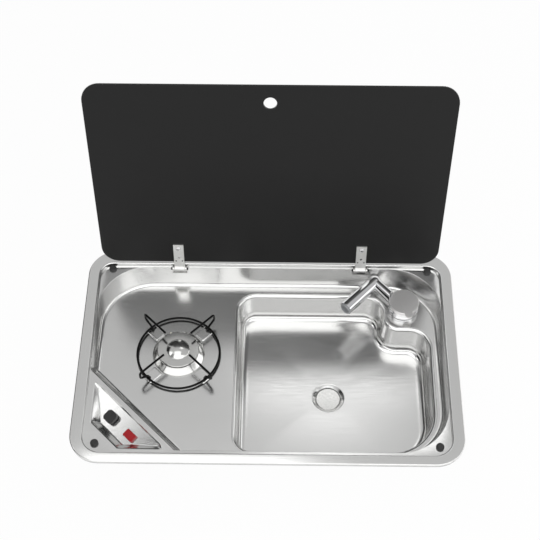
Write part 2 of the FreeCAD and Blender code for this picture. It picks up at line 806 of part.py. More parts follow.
def glass_lid():
    """Tempered glass with ground edges, a finger hole and the hinge screw holes."""
    pane = four_corners(-LID_X, LID_X, LID_FRONT, LID_REAR, LID_R)
    top = GLASS_LOW + GLASS_T
    glass = stack([
        (pane, GLASS_LOW, -GLASS_ARRIS),
        (pane, GLASS_LOW + GLASS_ARRIS, 0.0),
        (pane, top - GLASS_ARRIS, 0.0),
        (pane, top, -GLASS_ARRIS),
    ])
    finger = Vector(0, LID_FRONT + FINGER_HOLE_INSET, 0)
    holes = [cylinder(FINGER_HOLE_R, GLASS_LOW - 1, top + 1, finger)]
    for side in (-1, 1):
        for p in leaf_screw_points(side * HINGE_X):
            holes.append(cylinder(LEAF_SCREW_R + CLEAR, GLASS_LOW - 1, top + 1, p))
    return opened(glass.cut(holes))


def hinge_leaf(x):
    """Leaf with the rolled knuckle that turns on the hinge pin."""
    top = GLASS_LOW - PAD_T
    neck_start = LID_REAR + HINGE_FROM_GLASS - LEAF_NECK
    plate = block(x - LEAF_HALF, x + LEAF_HALF, LID_REAR - LEAF_REACH, neck_start, top - LEAF_T, top)
    neck = block(x - KNUCKLE_HALF, x + KNUCKLE_HALF, neck_start, HINGE_Y, top - LEAF_T, top)
    axis = Vector(x, HINGE_Y, HINGE_Z)
    side = Vector(1, 0, 0)
    knuckle = along(KNUCKLE_R, axis, side, -KNUCKLE_HALF, KNUCKLE_HALF)
    leaf = plate.fuse([neck, knuckle])
    holes = [along(PIN_R + FIT, axis, side, -LEAF_HALF, LEAF_HALF)]
    holes += [cylinder(LEAF_SCREW_R + FIT, top - 2 * LEAF_T, top + 1, p) for p in leaf_screw_points(x)]
    return opened(leaf.cut(holes))


def leaf_pad(x):
    """Thin pad between a leaf and the glass."""
    inset = 1.0
    front = LID_REAR - LEAF_REACH
    pad = block(x - LEAF_HALF, x + LEAF_HALF, front, LID_REAR - inset, GLASS_LOW - PAD_T, GLASS_LOW)
    holes = [cylinder(LEAF_SCREW_R + FIT, GLASS_LOW - 2, GLASS_LOW + 1, p) for p in leaf_screw_points(x)]
    return opened(pad.cut(holes))


def leaf_screw(at):
    """Screw through leaf and glass, with a low head on the lid's outer face."""
    top = GLASS_LOW + GLASS_T
    shank = cylinder(LEAF_SCREW_R, GLASS_LOW - PAD_T - LEAF_T, top, at)
    head = cylinder(LEAF_SCREW_HEAD_R, top, top + LEAF_SCREW_HEAD_T, at)
    return opened(shank.fuse(head))


def hinge_bracket(x):
    """Plate riveted to the recess's rear wall, with two lugs for the pin."""
    def back(z):
        return wall_y(z) - FIT

    plate_points = [
        Vector(x - BRACKET_HALF, back(BRACKET_TOP), BRACKET_TOP),
        Vector(x - BRACKET_HALF, back(BRACKET_LOW), BRACKET_LOW),
        Vector(x - BRACKET_HALF, back(BRACKET_LOW) - BRACKET_T, BRACKET_LOW),
        Vector(x - BRACKET_HALF, back(BRACKET_TOP) - BRACKET_T, BRACKET_TOP),
    ]
    plate = Part.Face(Part.makePolygon(plate_points + plate_points[:1])).extrude(Vector(2 * BRACKET_HALF, 0, 0))
    foot = BRACKET_TOP - LUG_FOOT
    profile = [
        (HINGE_Y - LUG_R, HINGE_Z),
        (HINGE_Y + LUG_R, HINGE_Z),
        (back(BRACKET_TOP), BRACKET_TOP),
        (back(foot), foot),
        (back(foot) - BRACKET_T, foot),
    ]
    side = Vector(1, 0, 0)
    inner = KNUCKLE_HALF + LUG_GAP
    bracket = plate
    for start in (x - inner - LUG_T, x + inner):
        points = [Vector(start, y, z) for y, z in profile]
        cheek = Part.Face(Part.makePolygon(points + points[:1])).extrude(side * LUG_T)
        eye = along(LUG_R, Vector(start, HINGE_Y, HINGE_Z), side, 0, LUG_T)
        bracket = bracket.fuse([cheek, eye])
    reach = inner + LUG_T + 1
    holes = [along(PIN_R + FIT / 2, Vector(x, HINGE_Y, HINGE_Z), side, -reach, reach)]
    for p in rivet_points():
        holes.append(along(RIVET_R + FIT, p, WALL_NORMAL, -1, 2 * BRACKET_T))
    return bracket.cut(holes)


def hinge_pin(x):
    """Headed pin through both lugs and the knuckle."""
    reach = KNUCKLE_HALF + LUG_GAP + LUG_T + FIT
    axis = Vector(x, HINGE_Y, HINGE_Z)
    side = Vector(1, 0, 0)
    shank = along(PIN_R, axis, side, -reach, reach)
    heads = [along(PIN_HEAD_R, axis, side * s, reach, reach + PIN_HEAD_T) for s in (-1, 1)]
    return shank.fuse(heads)


def hinge_rivet(at):
    """Rivet through the bracket plate and the rear wall."""
    across = -WALL_NORMAL.y
    front = (BRACKET_T + 2 * FIT) * across
    rear = -(SHEET + FIT) * across
    shank = along(RIVET_R, at, WALL_NORMAL, rear, front)
    cap = along(RIVET_HEAD_R, at, WALL_NORMAL, front, front + RIVET_HEAD_T)
    tail = along(RIVET_HEAD_R, at, WALL_NORMAL, rear - RIVET_HEAD_T, rear)
    return shank.fuse([cap, tail])


# Burner

def burner_cup():
    """Cast cup under the deck that mixes gas and air, with a flange and a jet boss."""
    bottom = DECK_Z - SHEET - CUP_DEPTH
    inner = CUP_R - CUP_WALL
    flange_top = DECK_Z - SHEET
    flange_low = flange_top - CUP_FLANGE_T
    boss_low = bottom - CUP_BOSS_LENGTH
    cup = turned([
        (0, boss_low), (CUP_BOSS_R, boss_low), (CUP_BOSS_R, bottom), (CUP_R, bottom), (CUP_R, flange_low),
        (CUP_FLANGE_R, flange_low), (CUP_FLANGE_R, flange_top), (CUP_R, flange_top), (CUP_R, CUP_TOP),
        (inner, CUP_TOP), (inner, bottom + CUP_WALL), (0, bottom + CUP_WALL)], BURNER)
    holes = [cylinder(JET_THREAD_R + FIT, boss_low - 1, bottom + 2 * CUP_WALL, BURNER)]
    for angle in STUD_ANGLES:
        at = around(BURNER, STUD_RING_R, angle)
        holes.append(cylinder(STUD_R + FIT, flange_low - 1, flange_top + 1, at))
    for angle, radius in ((ELECTRODE_ANGLE, INSULATOR_R), (THERMOCOUPLE_ANGLE, THERMOCOUPLE_R)):
        holes.append(cylinder(radius + FIT, flange_low - 1, flange_top + 1, sensor_point(angle)))
    return cup.cut(holes)


def burner_skirt():
    """Bright cone that covers the deck hole around the cup."""
    bore = CUP_R + SKIRT_BORE_GAP
    crown = DECK_Z + SKIRT_RISE
    skirt = turned([
        (bore, DECK_Z), (SKIRT_R, DECK_Z), (SKIRT_R, DECK_Z + SKIRT_LIP), (bore + SKIRT_LIP, crown),
        (bore, crown)], BURNER)
    holes = []
    for angle, radius in ((ELECTRODE_ANGLE, INSULATOR_R), (THERMOCOUPLE_ANGLE, THERMOCOUPLE_R)):
        holes.append(cylinder(radius + CLEAR, DECK_Z - 1, crown + 1, sensor_point(angle)))
    return skirt.cut(holes)


def burner_head():
    """Ring of flame ports that sits in the cup's mouth."""
    spigot_r = CUP_R - CUP_WALL - FIT
    head = turned([
        (HEAD_BORE_R, CUP_TOP - HEAD_SPIGOT), (spigot_r, CUP_TOP - HEAD_SPIGOT), (spigot_r, CUP_TOP),
        (HEAD_R, CUP_TOP), (HEAD_R, HEAD_TOP), (HEAD_BORE_R, HEAD_TOP)], BURNER)
    slots = []
    for i in range(PORTS):
        slot = block(HEAD_BORE_R - 1, HEAD_R + 1, -PORT_W / 2, PORT_W / 2, HEAD_TOP - PORT_H, HEAD_TOP + 1)
        slot.rotate(Vector(), UP, 360.0 * (i + 0.5) / PORTS)
        slot.translate(BURNER)
        slots.append(slot)
    return head.cut(slots)


def burner_cap():
    """Loose cap with a low dome in the middle and a locating boss below."""
    top = HEAD_TOP + CAP_RISE
    boss = HEAD_TOP - CAP_BOSS
    locate_r = HEAD_BORE_R - CLEAR
    cap = turned([
        (0, boss), (locate_r, boss), (locate_r, HEAD_TOP), (CAP_R, HEAD_TOP), (CAP_R, HEAD_TOP + CAP_EDGE),
        (DOME_R, top), (0, top)], BURNER)
    ball = (DOME_R * DOME_R + DOME_RISE * DOME_RISE) / (2 * DOME_RISE)
    dome = Part.makeSphere(ball, BURNER + UP * (top + DOME_RISE - ball))
    return cap.fuse(dome.common(cylinder(DOME_R + 1, top - 0.5, top + DOME_RISE + 1, BURNER)))


def burner_stud(angle):
    """Stud welded under the deck, with the nut that holds the cup's flange."""
    at = around(BURNER, STUD_RING_R, angle)
    flange_low = DECK_Z - SHEET - CUP_FLANGE_T
    stud = cylinder(STUD_R, flange_low - 2 * STUD_NUT_H, DECK_Z - SHEET, at)
    return stud.fuse(hexagon(STUD_NUT_R, flange_low - STUD_NUT_H, flange_low, at))


JET_TOP = DECK_Z - SHEET - CUP_DEPTH - CUP_BOSS_LENGTH
JET_LOW = JET_TOP - JET_HEX_H


def gas_jet():
    """Brass jet in the cup's boss."""
    jet = hexagon(JET_HEX_R, JET_LOW, JET_TOP, BURNER)
    jet = jet.fuse(cylinder(JET_THREAD_R, JET_TOP, JET_TOP + CUP_BOSS_LENGTH / 2, BURNER))
    return jet.cut(cylinder(JET_ORIFICE_R, JET_LOW - 1, JET_TOP + CUP_BOSS_LENGTH, BURNER))


SENSOR_LOW = DECK_Z - SHEET - CUP_FLANGE_T - SENSOR_DROP


def spark_electrode():
    """Ceramic insulator and its steel spark wire, one fired unit."""
    at = sensor_point(ELECTRODE_ANGLE)
    tip = DECK_Z + SENSOR_RISE
    top = tip - 2 * ELECTRODE_R
    insulator = cylinder(INSULATOR_R, SENSOR_LOW, top, at)
    wire = cylinder(ELECTRODE_R, top, tip, at)
    collar = cylinder(INSULATOR_R + 1, SENSOR_LOW + SENSOR_DROP - 4, SENSOR_LOW + SENSOR_DROP, at)
    return insulator.fuse([wire, collar])


def thermocouple():
    """Flame sensor, with its nut under the cup's flange."""
    at = sensor_point(THERMOCOUPLE_ANGLE)
    probe = cylinder(THERMOCOUPLE_R, SENSOR_LOW, DECK_Z + SENSOR_RISE, at)
    nut = hexagon(THERMOCOUPLE_R + 2, SENSOR_LOW + SENSOR_DROP - 5, SENSOR_LOW + SENSOR_DROP, at)
    return probe.fuse(nut)


# Pan support

def pan_support():
    """Wire ring and four bent arms, welded into one support."""
    top = DECK_Z + SUPPORT_TOP_LIFT
    low = PAD_Z - GROMMET_LENGTH
    ring_z = DECK_Z + SUPPORT_RING_LIFT
    support = Part.makeTorus(SUPPORT_RING_R, SUPPORT_WIRE_R, Vector(0, 0, ring_z))
    drop = 14.0
    profile = [
        (SUPPORT_INNER_R, top), (SUPPORT_TIP_R, top), (SUPPORT_TIP_R + 0.5, top - drop),
        (SUPPORT_FOOT_R, ring_z + SUPPORT_BEND), (SUPPORT_FOOT_R, low)]
    arms = []
    for angle in ARM_ANGLES:
        arm = bent_rod([Vector(r, 0, z) for r, z in profile], SUPPORT_BEND, SUPPORT_WIRE_R)
        arm.rotate(Vector(), UP, angle)
        arms.append(arm)
    support = support.fuse(arms)
    support.translate(BURNER)
    return support


def support_grommet(at):
    """Heat-proof bush in the deck for one foot of the pan support."""
    flange = cylinder(GROMMET_R, PAD_Z, PAD_Z + GROMMET_FLANGE_T, at)
    neck = cylinder(GROMMET_NECK_R, PAD_Z - GROMMET_LENGTH, PAD_Z, at)
    return flange.fuse(neck).cut(cylinder(SUPPORT_WIRE_R + FIT, PAD_Z - 9, PAD_Z + 9, at))


# Gas valve, knob and pipes

def valve_port(uv):
    """Place of a port under the valve, in the panel's own axes."""
    return KNOB_AT + Vector(uv[0], uv[1], 0)


def gas_valve():
    """Brass valve hung from the panel by its neck, with ports below."""
    body = block(-VALVE_HALF_U, VALVE_HALF_U, -VALVE_HALF_V, VALVE_HALF_V, VALVE_BOTTOM, VALVE_TOP)
    body.translate(KNOB_AT)
    parts = [
        cylinder(VALVE_SHOULDER_R, VALVE_TOP, PANEL_UNDER, KNOB_AT),
        cylinder(VALVE_NECK_R, PANEL_UNDER, VALVE_NECK_TOP, KNOB_AT),
    ]
    for uv in (OUTLET_UV, INLET_UV):
        parts.append(cylinder(PORT_BOSS_R, VALVE_BOTTOM - PORT_BOSS_LENGTH, VALVE_BOTTOM, valve_port(uv)))
    boss_low = VALVE_BOTTOM - SENSOR_BOSS_LENGTH
    parts.append(cylinder(SENSOR_BOSS_R, boss_low, VALVE_BOTTOM, valve_port(SENSOR_UV)))
    body = body.fuse(parts)
    return on_panel(body.cut(cylinder(SPINDLE_R + SPINDLE_RUN, VALVE_BORE_BOTTOM, VALVE_NECK_TOP + 1, KNOB_AT)))


def panel_nut():
    """Nut that holds the valve against the panel, under the knob."""
    nut = hexagon(PANEL_NUT_R, 0, PANEL_NUT_H, KNOB_AT)
    return on_panel(nut.cut(cylinder(VALVE_NECK_R + FIT, -1, PANEL_NUT_H + 1, KNOB_AT)))


def gas_knob():
    """Moulded knob with four flats and a pointer groove."""
    top = KNOB_LIFT + KNOB_H
    body = cylinder(KNOB_R, KNOB_LIFT, top, KNOB_AT)
    flats = block(-KNOB_FLATS, KNOB_FLATS, -KNOB_FLATS, KNOB_FLATS, KNOB_LIFT, top)
    flats.translate(KNOB_AT)
    knob = body.common(flats)
    hollow = cylinder(KNOB_HOLLOW_R, KNOB_LIFT - 1, KNOB_LIFT + KNOB_HOLLOW_H, KNOB_AT)
    socket = cylinder(SPINDLE_R + FIT, KNOB_LIFT, top - 1, KNOB_AT)
    half = KNOB_GROOVE_W / 2
    groove = block(-half, half, 0, KNOB_R, top - KNOB_GROOVE_D, top + 1)
    groove.translate(KNOB_AT)
    return on_panel(knob.cut([hollow, socket, groove]))


def valve_spindle():
    """Spindle that turns with the knob."""
    top = KNOB_LIFT + KNOB_H - 1 - FIT
    return on_panel(cylinder(SPINDLE_R, SPINDLE_LOW, top, KNOB_AT))


def thrust_pin():
    """Pin below the spindle that the push moves and the turn leaves still."""
    top = SPINDLE_LOW - FIT
    return on_panel(cylinder(SPINDLE_R - FIT / 2, top - THRUST_PIN_LENGTH, top, KNOB_AT))


def port_end(uv, length):
    """Lower end of a valve port."""
    at = valve_port(uv)
    return panel_point(at.x, at.y, VALVE_BOTTOM - length)


def burner_pipe():
    """Pipe from the valve down and across to the jet."""
    start = port_end(OUTLET_UV, PORT_BOSS_LENGTH)
    below = start - PANEL_NORMAL * PIPE_DROP
    turn = Vector(BURNER_X, BURNER_Y, PIPE_LOW)
    return bent_rod([start, below, turn, Vector(BURNER_X, BURNER_Y, JET_LOW)], PIPE_BEND, PIPE_R)


def gas_inlet_pipe():
    """Pipe from the valve to the gas supply at the rear left."""
    start = port_end(INLET_UV, PORT_BOSS_LENGTH)
    below = start - PANEL_NORMAL * PIPE_DROP
    end = Vector(*INLET_END)
    knee = Vector(end.x, end.y - 6 * PIPE_BEND, end.z)
    return bent_rod([start, below, knee, end], PIPE_BEND, PIPE_R)


def pipe_nuts():
    """Union nuts on the pipes, at the valve ports and under the jet."""
    nuts = []
    for uv in (OUTLET_UV, INLET_UV):
        at = valve_port(uv)
        low = VALVE_BOTTOM - PORT_BOSS_LENGTH - PIPE_NUT_H
        nut = hexagon(PORT_BOSS_R, low, low + PIPE_NUT_H, at)
        nuts.append(on_panel(nut.cut(cylinder(PIPE_R + FIT, low - 1, low + PIPE_NUT_H + 1, at))))
    low = JET_LOW - PIPE_NUT_H / 2
    nut = hexagon(PIPE_NUT_R, low, JET_LOW, BURNER)
    nuts.append(nut.cut(cylinder(PIPE_R + FIT, low - 1, JET_LOW + 1, BURNER)))
    return nuts


def sensor_lead(start, via, at):
    """Lead from a point under the panel, past the points in via, to the foot of a burner sensor."""
    below = start - PANEL_NORMAL * LEAD_DROP
    level = [Vector(x, y, below.z) for x, y in via + [(at.x, at.y)]]
    return bent_rod([start, below] + level + [Vector(at.x, at.y, SENSOR_LOW)], LEAD_BEND, LEAD_R)


def thermocouple_lead():
    """Copper capillary from the thermocouple around the cup to the valve."""
    past = [(BURNER_X + CUP_FLANGE_R + LEAD_BEND, BURNER_Y - LEAD_BEND)]
    return sensor_lead(port_end(SENSOR_UV, SENSOR_BOSS_LENGTH), past, sensor_point(THERMOCOUPLE_ANGLE))


def ignition_lead():
    """Silicone lead from the igniter to the electrode."""
    start = panel_point(BUTTON_U, BUTTON_V, IGNITER_BOTTOM - TERMINAL_LENGTH)
    return sensor_lead(start, [], sensor_point(ELECTRODE_ANGLE))


# Igniter

def igniter_button():
    """Red push button with its stem."""
    corners = four_corners(-BUTTON_HALF_U, BUTTON_HALF_U, -BUTTON_HALF_V, BUTTON_HALF_V, BUTTON_ROUND)
    cap = stack([
        (corners, BUTTON_BOTTOM, 0.0), (corners, BUTTON_TOP - BUTTON_ROUND, 0.0),
        (corners, BUTTON_TOP, -BUTTON_ROUND / 2)])
    button = cap.fuse(cylinder(BUTTON_STEM_R, BUTTON_BOTTOM - BUTTON_STEM_LENGTH, BUTTON_BOTTOM))
    button.translate(BUTTON_AT)
    return on_panel(button)


def igniter_body():
    """Piezo housing under the panel, with a well for the button and a terminal below."""
    in_u = BUTTON_HALF_U + BUTTON_GAP
    in_v = BUTTON_HALF_V + BUTTON_GAP
    out_u = in_u + IGNITER_WALL
    out_v = in_v + IGNITER_WALL
    lip_u = out_u + IGNITER_FLANGE
    lip_v = out_v + IGNITER_FLANGE
    body = button_block(out_u, out_v, IGNITER_BOTTOM, PANEL_UNDER)
    lip = button_block(lip_u, lip_v, PANEL_UNDER - IGNITER_FLANGE_T, PANEL_UNDER)
    terminal = cylinder(TERMINAL_R, IGNITER_BOTTOM - TERMINAL_LENGTH, IGNITER_BOTTOM, BUTTON_AT)
    well_low = BUTTON_BOTTOM - BUTTON_TRAVEL - 1
    well = button_block(in_u, in_v, well_low, 1)
    bore = cylinder(BUTTON_STEM_R + CLEAR, well_low - BUTTON_STEM_LENGTH - 1, 0, BUTTON_AT)
    return on_panel(body.fuse([lip, terminal]).cut([well, bore]))


# Tap

TAP_BASE_LOW = DECK_Z + TAP_GASKET_T
TAP_BASE_TOP = TAP_BASE_LOW + TAP_BASE_H
COLLAR_LOW = TAP_BASE_TOP + TAP_GAP
COLLAR_TOP = COLLAR_LOW + TAP_COLLAR_H
HANDLE_LOW = COLLAR_TOP + TAP_GAP
HANDLE_TOP = HANDLE_LOW + HANDLE_H
SPOUT_Z = DECK_Z + SPOUT_LIFT


def tap_gasket():
    """Rubber ring between tap base and ledge."""
    return ring(TAP_BASE_R - 1, SHANK_R + CLEAR, DECK_Z, TAP_BASE_LOW, TAP)


def tap_base():
    """Rosette with the threaded shank below and the swivel post above."""
    bevel = 1.5
    low = DECK_Z - SHANK_LENGTH
    shoulder = HANDLE_LOW - FIT
    tip = shoulder + TAP_TIP_H
    return turned([
        (0, low), (SHANK_R, low), (SHANK_R, TAP_BASE_LOW), (TAP_BASE_R, TAP_BASE_LOW),
        (TAP_BASE_R, TAP_BASE_TOP - bevel), (TAP_BASE_R - bevel, TAP_BASE_TOP), (TAP_POST_R, TAP_BASE_TOP),
        (TAP_POST_R, shoulder), (TAP_TIP_R, shoulder), (TAP_TIP_R, tip), (0, tip)], TAP)


def tap_nut():
    """Back nut under the ledge."""
    low = DECK_Z - SHEET - TAP_NUT_H
    nut = hexagon(TAP_NUT_R, low, DECK_Z - SHEET, TAP)
    return nut.cut(cylinder(SHANK_R + FIT, low - 1, DECK_Z, TAP))


def tap_tails():
    """Cold and hot water tails below the shank."""
    low = DECK_Z - SHANK_LENGTH
    return [cylinder(TAIL_R, low - TAIL_LENGTH, low, TAP + Vector(x, 0, 0)) for x in (-TAIL_X, TAIL_X)]


def spout_points():
    """Middle line of the neck and spout."""
    return [TAP + Vector(x, y, SPOUT_Z) for x, y in (NECK_START, ELBOW, SPOUT_TIP)]


def tap_spout():
    """Swivel collar, neck and spout."""
    start, elbow, tip = spout_points()
    collar = ring(TAP_COLLAR_R, TAP_POST_R + HANDLE_RUN, COLLAR_LOW, COLLAR_TOP, TAP)
    arms = []
    bores = []
    for a, b, radius in ((start, elbow, NECK_R), (elbow, tip, SPOUT_R)):
        heading = (b - a).normalize()
        arms.append(along(radius, a, heading, 0, (b - a).Length))
    arms.append(Part.makeSphere(SPOUT_R, elbow))
    heading = (tip - elbow).normalize()
    bores.append(along(SPOUT_BORE_R, elbow, heading, 0, (tip - elbow).Length + 1))
    room = cylinder(TAP_COLLAR_R + 2 * TAP_GAP, HANDLE_LOW - TAP_GAP / 2, SPOUT_Z + 2 * SPOUT_R, TAP)
    post = cylinder(TAP_POST_R + HANDLE_RUN, COLLAR_LOW - 1, COLLAR_TOP + 1, TAP)
    arm = arms[0].fuse(arms[1:]).cut([room, post] + bores)
    return collar.fuse(arm)


def tap_aerator():
    """Flow insert in the end of the spout."""
    _, elbow, tip = spout_points()
    heading = (tip - elbow).normalize()
    tube = along(AERATOR_R, tip, heading, AERATOR_OUT - AERATOR_LENGTH, AERATOR_OUT)
    return tube.cut(along(AERATOR_R - 2, tip, heading, -2.0, AERATOR_OUT + 1))


def tap_handle():
    """Round handle with a short finger lever."""
    bevel = 1.0
    disc = turned([
        (0, HANDLE_LOW), (TAP_COLLAR_R, HANDLE_LOW), (TAP_COLLAR_R, HANDLE_TOP - bevel),
        (TAP_COLLAR_R - bevel, HANDLE_TOP), (0, HANDLE_TOP)], TAP)
    low = HANDLE_TOP - LEVER_T + LEVER_RISE
    inner = TAP_TIP_R + 3.0
    lever = block(inner, LEVER_REACH - LEVER_HALF, -LEVER_HALF, LEVER_HALF, low, low + LEVER_T)
    lever = lever.fuse(cylinder(LEVER_HALF, low, low + LEVER_T, Vector(LEVER_REACH - LEVER_HALF, 0, 0)))
    lever.rotate(Vector(), UP, LEVER_ANGLE)
    lever.translate(TAP)
    socket = cylinder(TAP_TIP_R + HANDLE_RUN, HANDLE_LOW - 1, HANDLE_LOW + TAP_TIP_H + FIT, TAP)
    return disc.fuse(lever).cut(socket)


# Waste

FLANGE_LEDGE_TOP = WASTE_LEDGE_Z + WASTE_FLANGE_T
NECK_LOW = WASTE_LEDGE_Z - WASTE_NECK_LENGTH
UNDER_BOWL = WASTE_LEDGE_Z - SHEET


def waste_flange():
    """Flange and threaded neck, with a three-armed guide for the plug's stem."""
    bore = WASTE_NECK_R - WASTE_NECK_WALL
    flange = ring(WASTE_FLANGE_R, bore, WASTE_LEDGE_Z, FLANGE_LEDGE_TOP, WASTE)
    neck = ring(WASTE_NECK_R, bore, NECK_LOW, WASTE_LEDGE_Z, WASTE)
    hub_low = NECK_LOW + 8
    hub_top = hub_low + 4
    hub = cylinder(PLUG_STEM_R + 3, hub_low, hub_top, WASTE)
    arms = []
    for i in range(3):
        arm = block(0, bore + 1, -1.5, 1.5, hub_low, hub_top)
        arm.rotate(Vector(), UP, 120.0 * i)
        arm.translate(WASTE)
        arms.append(arm)
    body = flange.fuse([neck, hub] + arms)
    return body.cut(cylinder(PLUG_STEM_R + SPINDLE_RUN, hub_low - 1, hub_top + 1, WASTE))


def waste_gasket():
    """Rubber ring under the bowl."""
    return ring(WASTE_SEAT_R + SHEET, WASTE_NECK_R + CLEAR, UNDER_BOWL - WASTE_GASKET_T, UNDER_BOWL, WASTE)


def waste_nut():
    """Ring nut that draws the waste flange down."""
    top = UNDER_BOWL - WASTE_GASKET_T
    nut = hexagon(WASTE_NUT_R, top - WASTE_NUT_H, top, WASTE)
    return nut.cut(cylinder(WASTE_NECK_R + FIT, top - WASTE_NUT_H - 1, top + 1, WASTE))


BODY_TOP = UNDER_BOWL - WASTE_GASKET_T - WASTE_NUT_H
CONE_TOP = NECK_LOW - 1
CONE_LOW = CONE_TOP - 14
SPIGOT_LOW = CONE_LOW - SPIGOT_LENGTH


def waste_body():
    """Moulded outlet that pushes over the neck and narrows to the hose spigot."""
    inner = WASTE_NECK_R + FIT
    outer = inner + 3
    spigot_bore = SPIGOT_R - SPIGOT_WALL
    return turned([
        (inner, BODY_TOP), (outer, BODY_TOP), (outer, CONE_TOP - 3), (SPIGOT_R, CONE_LOW),
        (SPIGOT_R, SPIGOT_LOW), (spigot_bore, SPIGOT_LOW), (spigot_bore, CONE_LOW), (inner - 3, CONE_TOP),
        (inner, CONE_TOP)], WASTE)


SEAL_LOW = FLANGE_LEDGE_TOP + 0.1
PLUG_LOW = SEAL_LOW + PLUG_SEAL_T


def plug_seal():
    """Rubber ring under the plug."""
    return ring(PLUG_R - 1, WASTE_NECK_R - WASTE_NECK_WALL + 1, SEAL_LOW, PLUG_LOW, WASTE)


def sink_plug():
    """Flat plug with a guided stem."""
    top = PLUG_LOW + PLUG_T
    bevel = 0.8
    return turned([
        (0, PLUG_LOW - PLUG_STEM_LENGTH), (PLUG_STEM_R, PLUG_LOW - PLUG_STEM_LENGTH), (PLUG_STEM_R, PLUG_LOW),
        (PLUG_R, PLUG_LOW), (PLUG_R, top - bevel), (PLUG_R - bevel, top), (0, top)], WASTE)


def main():
    """Build every node and write its file."""
    os.makedirs("parts", exist_ok=True)
    sides = {"left": -HINGE_X, "right": HINGE_X}
    save("top_pressing", [top_pressing()])
    save("sink_bowl", [sink_bowl()])
    save("rim_seal", [rim_seal()])
    save("clamp_brackets", clamps(clamp_bracket()))
    save("clamp_arms", clamps(clamp_arm()))
    save("clamp_screws", clamps(clamp_screw()))
    save("corner_buffers", [corner_buffer(p) for p in buffer_points()])
    save("glass_lid", [glass_lid()])
    for side, x in sides.items():
        save("hinge_leaf_" + side, [hinge_leaf(x)])
        save("leaf_pad_" + side, [leaf_pad(x)])
        save("hinge_bracket_" + side, [hinge_bracket(x)])
        save("hinge_pin_" + side, [hinge_pin(x)])
    save("leaf_screws", [leaf_screw(p) for x in sides.values() for p in leaf_screw_points(x)])
    save("hinge_rivets", [hinge_rivet(p) for p in rivet_points()])
    save("burner_cup", [burner_cup()])
    save("burner_skirt", [burner_skirt()])
    save("burner_head", [burner_head()])
    save("burner_cap", [burner_cap()])
    save("burner_studs", [burner_stud(a) for a in STUD_ANGLES])
    save("gas_jet", [gas_jet()])
    save("spark_electrode", [spark_electrode()])
    save("thermocouple", [thermocouple()])
    save("pan_support", [pan_support()])
    save("support_grommets", [support_grommet(p) for p in foot_points()])
    save("gas_valve", [gas_valve()])
    save("panel_nut", [panel_nut()])
    save("gas_knob", [gas_knob()])
    save("valve_spindle", [valve_spindle()])
    save("thrust_pin", [thrust_pin()])
    save("burner_pipe", [burner_pipe()])
    save("gas_inlet_pipe", [gas_inlet_pipe()])
    save("pipe_nuts", pipe_nuts())
    save("thermocouple_lead", [thermocouple_lead()])
    save("ignition_lead", [ignition_lead()])
    save("igniter_button", [igniter_button()])
    save("igniter_body", [igniter_body()])
    save("tap_gasket", [tap_gasket()])
    save("tap_base", [tap_base()])
    save("tap_nut", [tap_nut()])
    save("tap_tails", tap_tails())
    save("tap_spout", [tap_spout()])
    save("tap_aerator", [tap_aerator()])
    save("tap_handle", [tap_handle()])
    save("waste_flange", [waste_flange()])
    save("waste_gasket", [waste_gasket()])
    save("waste_nut", [waste_nut()])
    save("waste_body", [waste_body()])
    save("plug_seal", [plug_seal()])
    save("sink_plug", [sink_plug()])


main()
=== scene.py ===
"""Looks for a drop-in hob and sink unit: a drawn stainless top, a glass lid, one burner and a low tap."""

import json
import math

import bmesh
import bpy
import numpy as np
from bpy.props import FloatProperty, FloatVectorProperty, PointerProperty
from mathutils import Matrix
from mathutils.geometry import delaunay_2d_cdt


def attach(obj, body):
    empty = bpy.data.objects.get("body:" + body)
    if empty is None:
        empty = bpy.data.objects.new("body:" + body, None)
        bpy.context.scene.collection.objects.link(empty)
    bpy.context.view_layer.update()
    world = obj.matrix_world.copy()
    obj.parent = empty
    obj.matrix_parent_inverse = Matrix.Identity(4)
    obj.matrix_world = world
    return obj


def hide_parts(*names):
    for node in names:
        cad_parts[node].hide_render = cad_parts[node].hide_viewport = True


bl_info = {
    "name": "Hob and sink looks",
    "version": (1, 0, 0),
    "blender": (4, 5, 0),
    "location": "View3D > Sidebar > Hob and sink",
    "description": "Builds the visible surfaces, finishes and studio of a hob and sink unit",
    "category": "Object",
}

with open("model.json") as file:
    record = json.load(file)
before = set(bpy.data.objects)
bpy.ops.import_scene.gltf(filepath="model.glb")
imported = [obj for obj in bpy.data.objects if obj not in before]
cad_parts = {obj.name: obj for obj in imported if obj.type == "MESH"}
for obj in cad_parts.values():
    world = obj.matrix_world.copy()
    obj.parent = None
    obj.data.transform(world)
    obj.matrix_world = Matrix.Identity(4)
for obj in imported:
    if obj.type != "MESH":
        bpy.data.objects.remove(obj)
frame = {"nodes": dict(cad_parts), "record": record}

# Shapes are worked out in millimetres and made in metres
MM = 0.001

# Twice the area, in square millimetres, below which a triangle of a flat face is only rounding
SLIVER = 4e-4
# Distance in millimetres within which two points of a flat face are one
SAME_POINT = 1e-7
# Distances in metres within which a piece's seams are welded, and below which an edge has no length
WELD = 1e-6
NO_LENGTH = 1e-7

# Width of the level strip beside a flat face, which keeps smooth shading from bending the face's edge
FLAT_STRIP = 0.5

# Levels of the pressing and bowl, in millimetres above the worktop
FLANGE_TOP = 7.0
SKIRT_LOW = 0.5
SEAT_Z = -1.0
WALL_LOW = -27.0
DECK_Z = -33.0
BOWL_Z = -90.0

# Outlines as corners (x, y, radius), anticlockwise
FLANGE = ((-300, -195, 47), (300, -195, 47), (300, 195, 47), (-300, 195, 47))
SEAT = ((-280.75, -179, 30), (280.75, -179, 30), (280.75, 168, 22), (-280.75, 168, 22))
BOWL = (
    (-50, -155, 28), (260.5, -155, 72), (260.5, 66.75, 31),
    (189, 66.75, 24), (189, 130.25, 31), (-50, 130.25, 28),
)

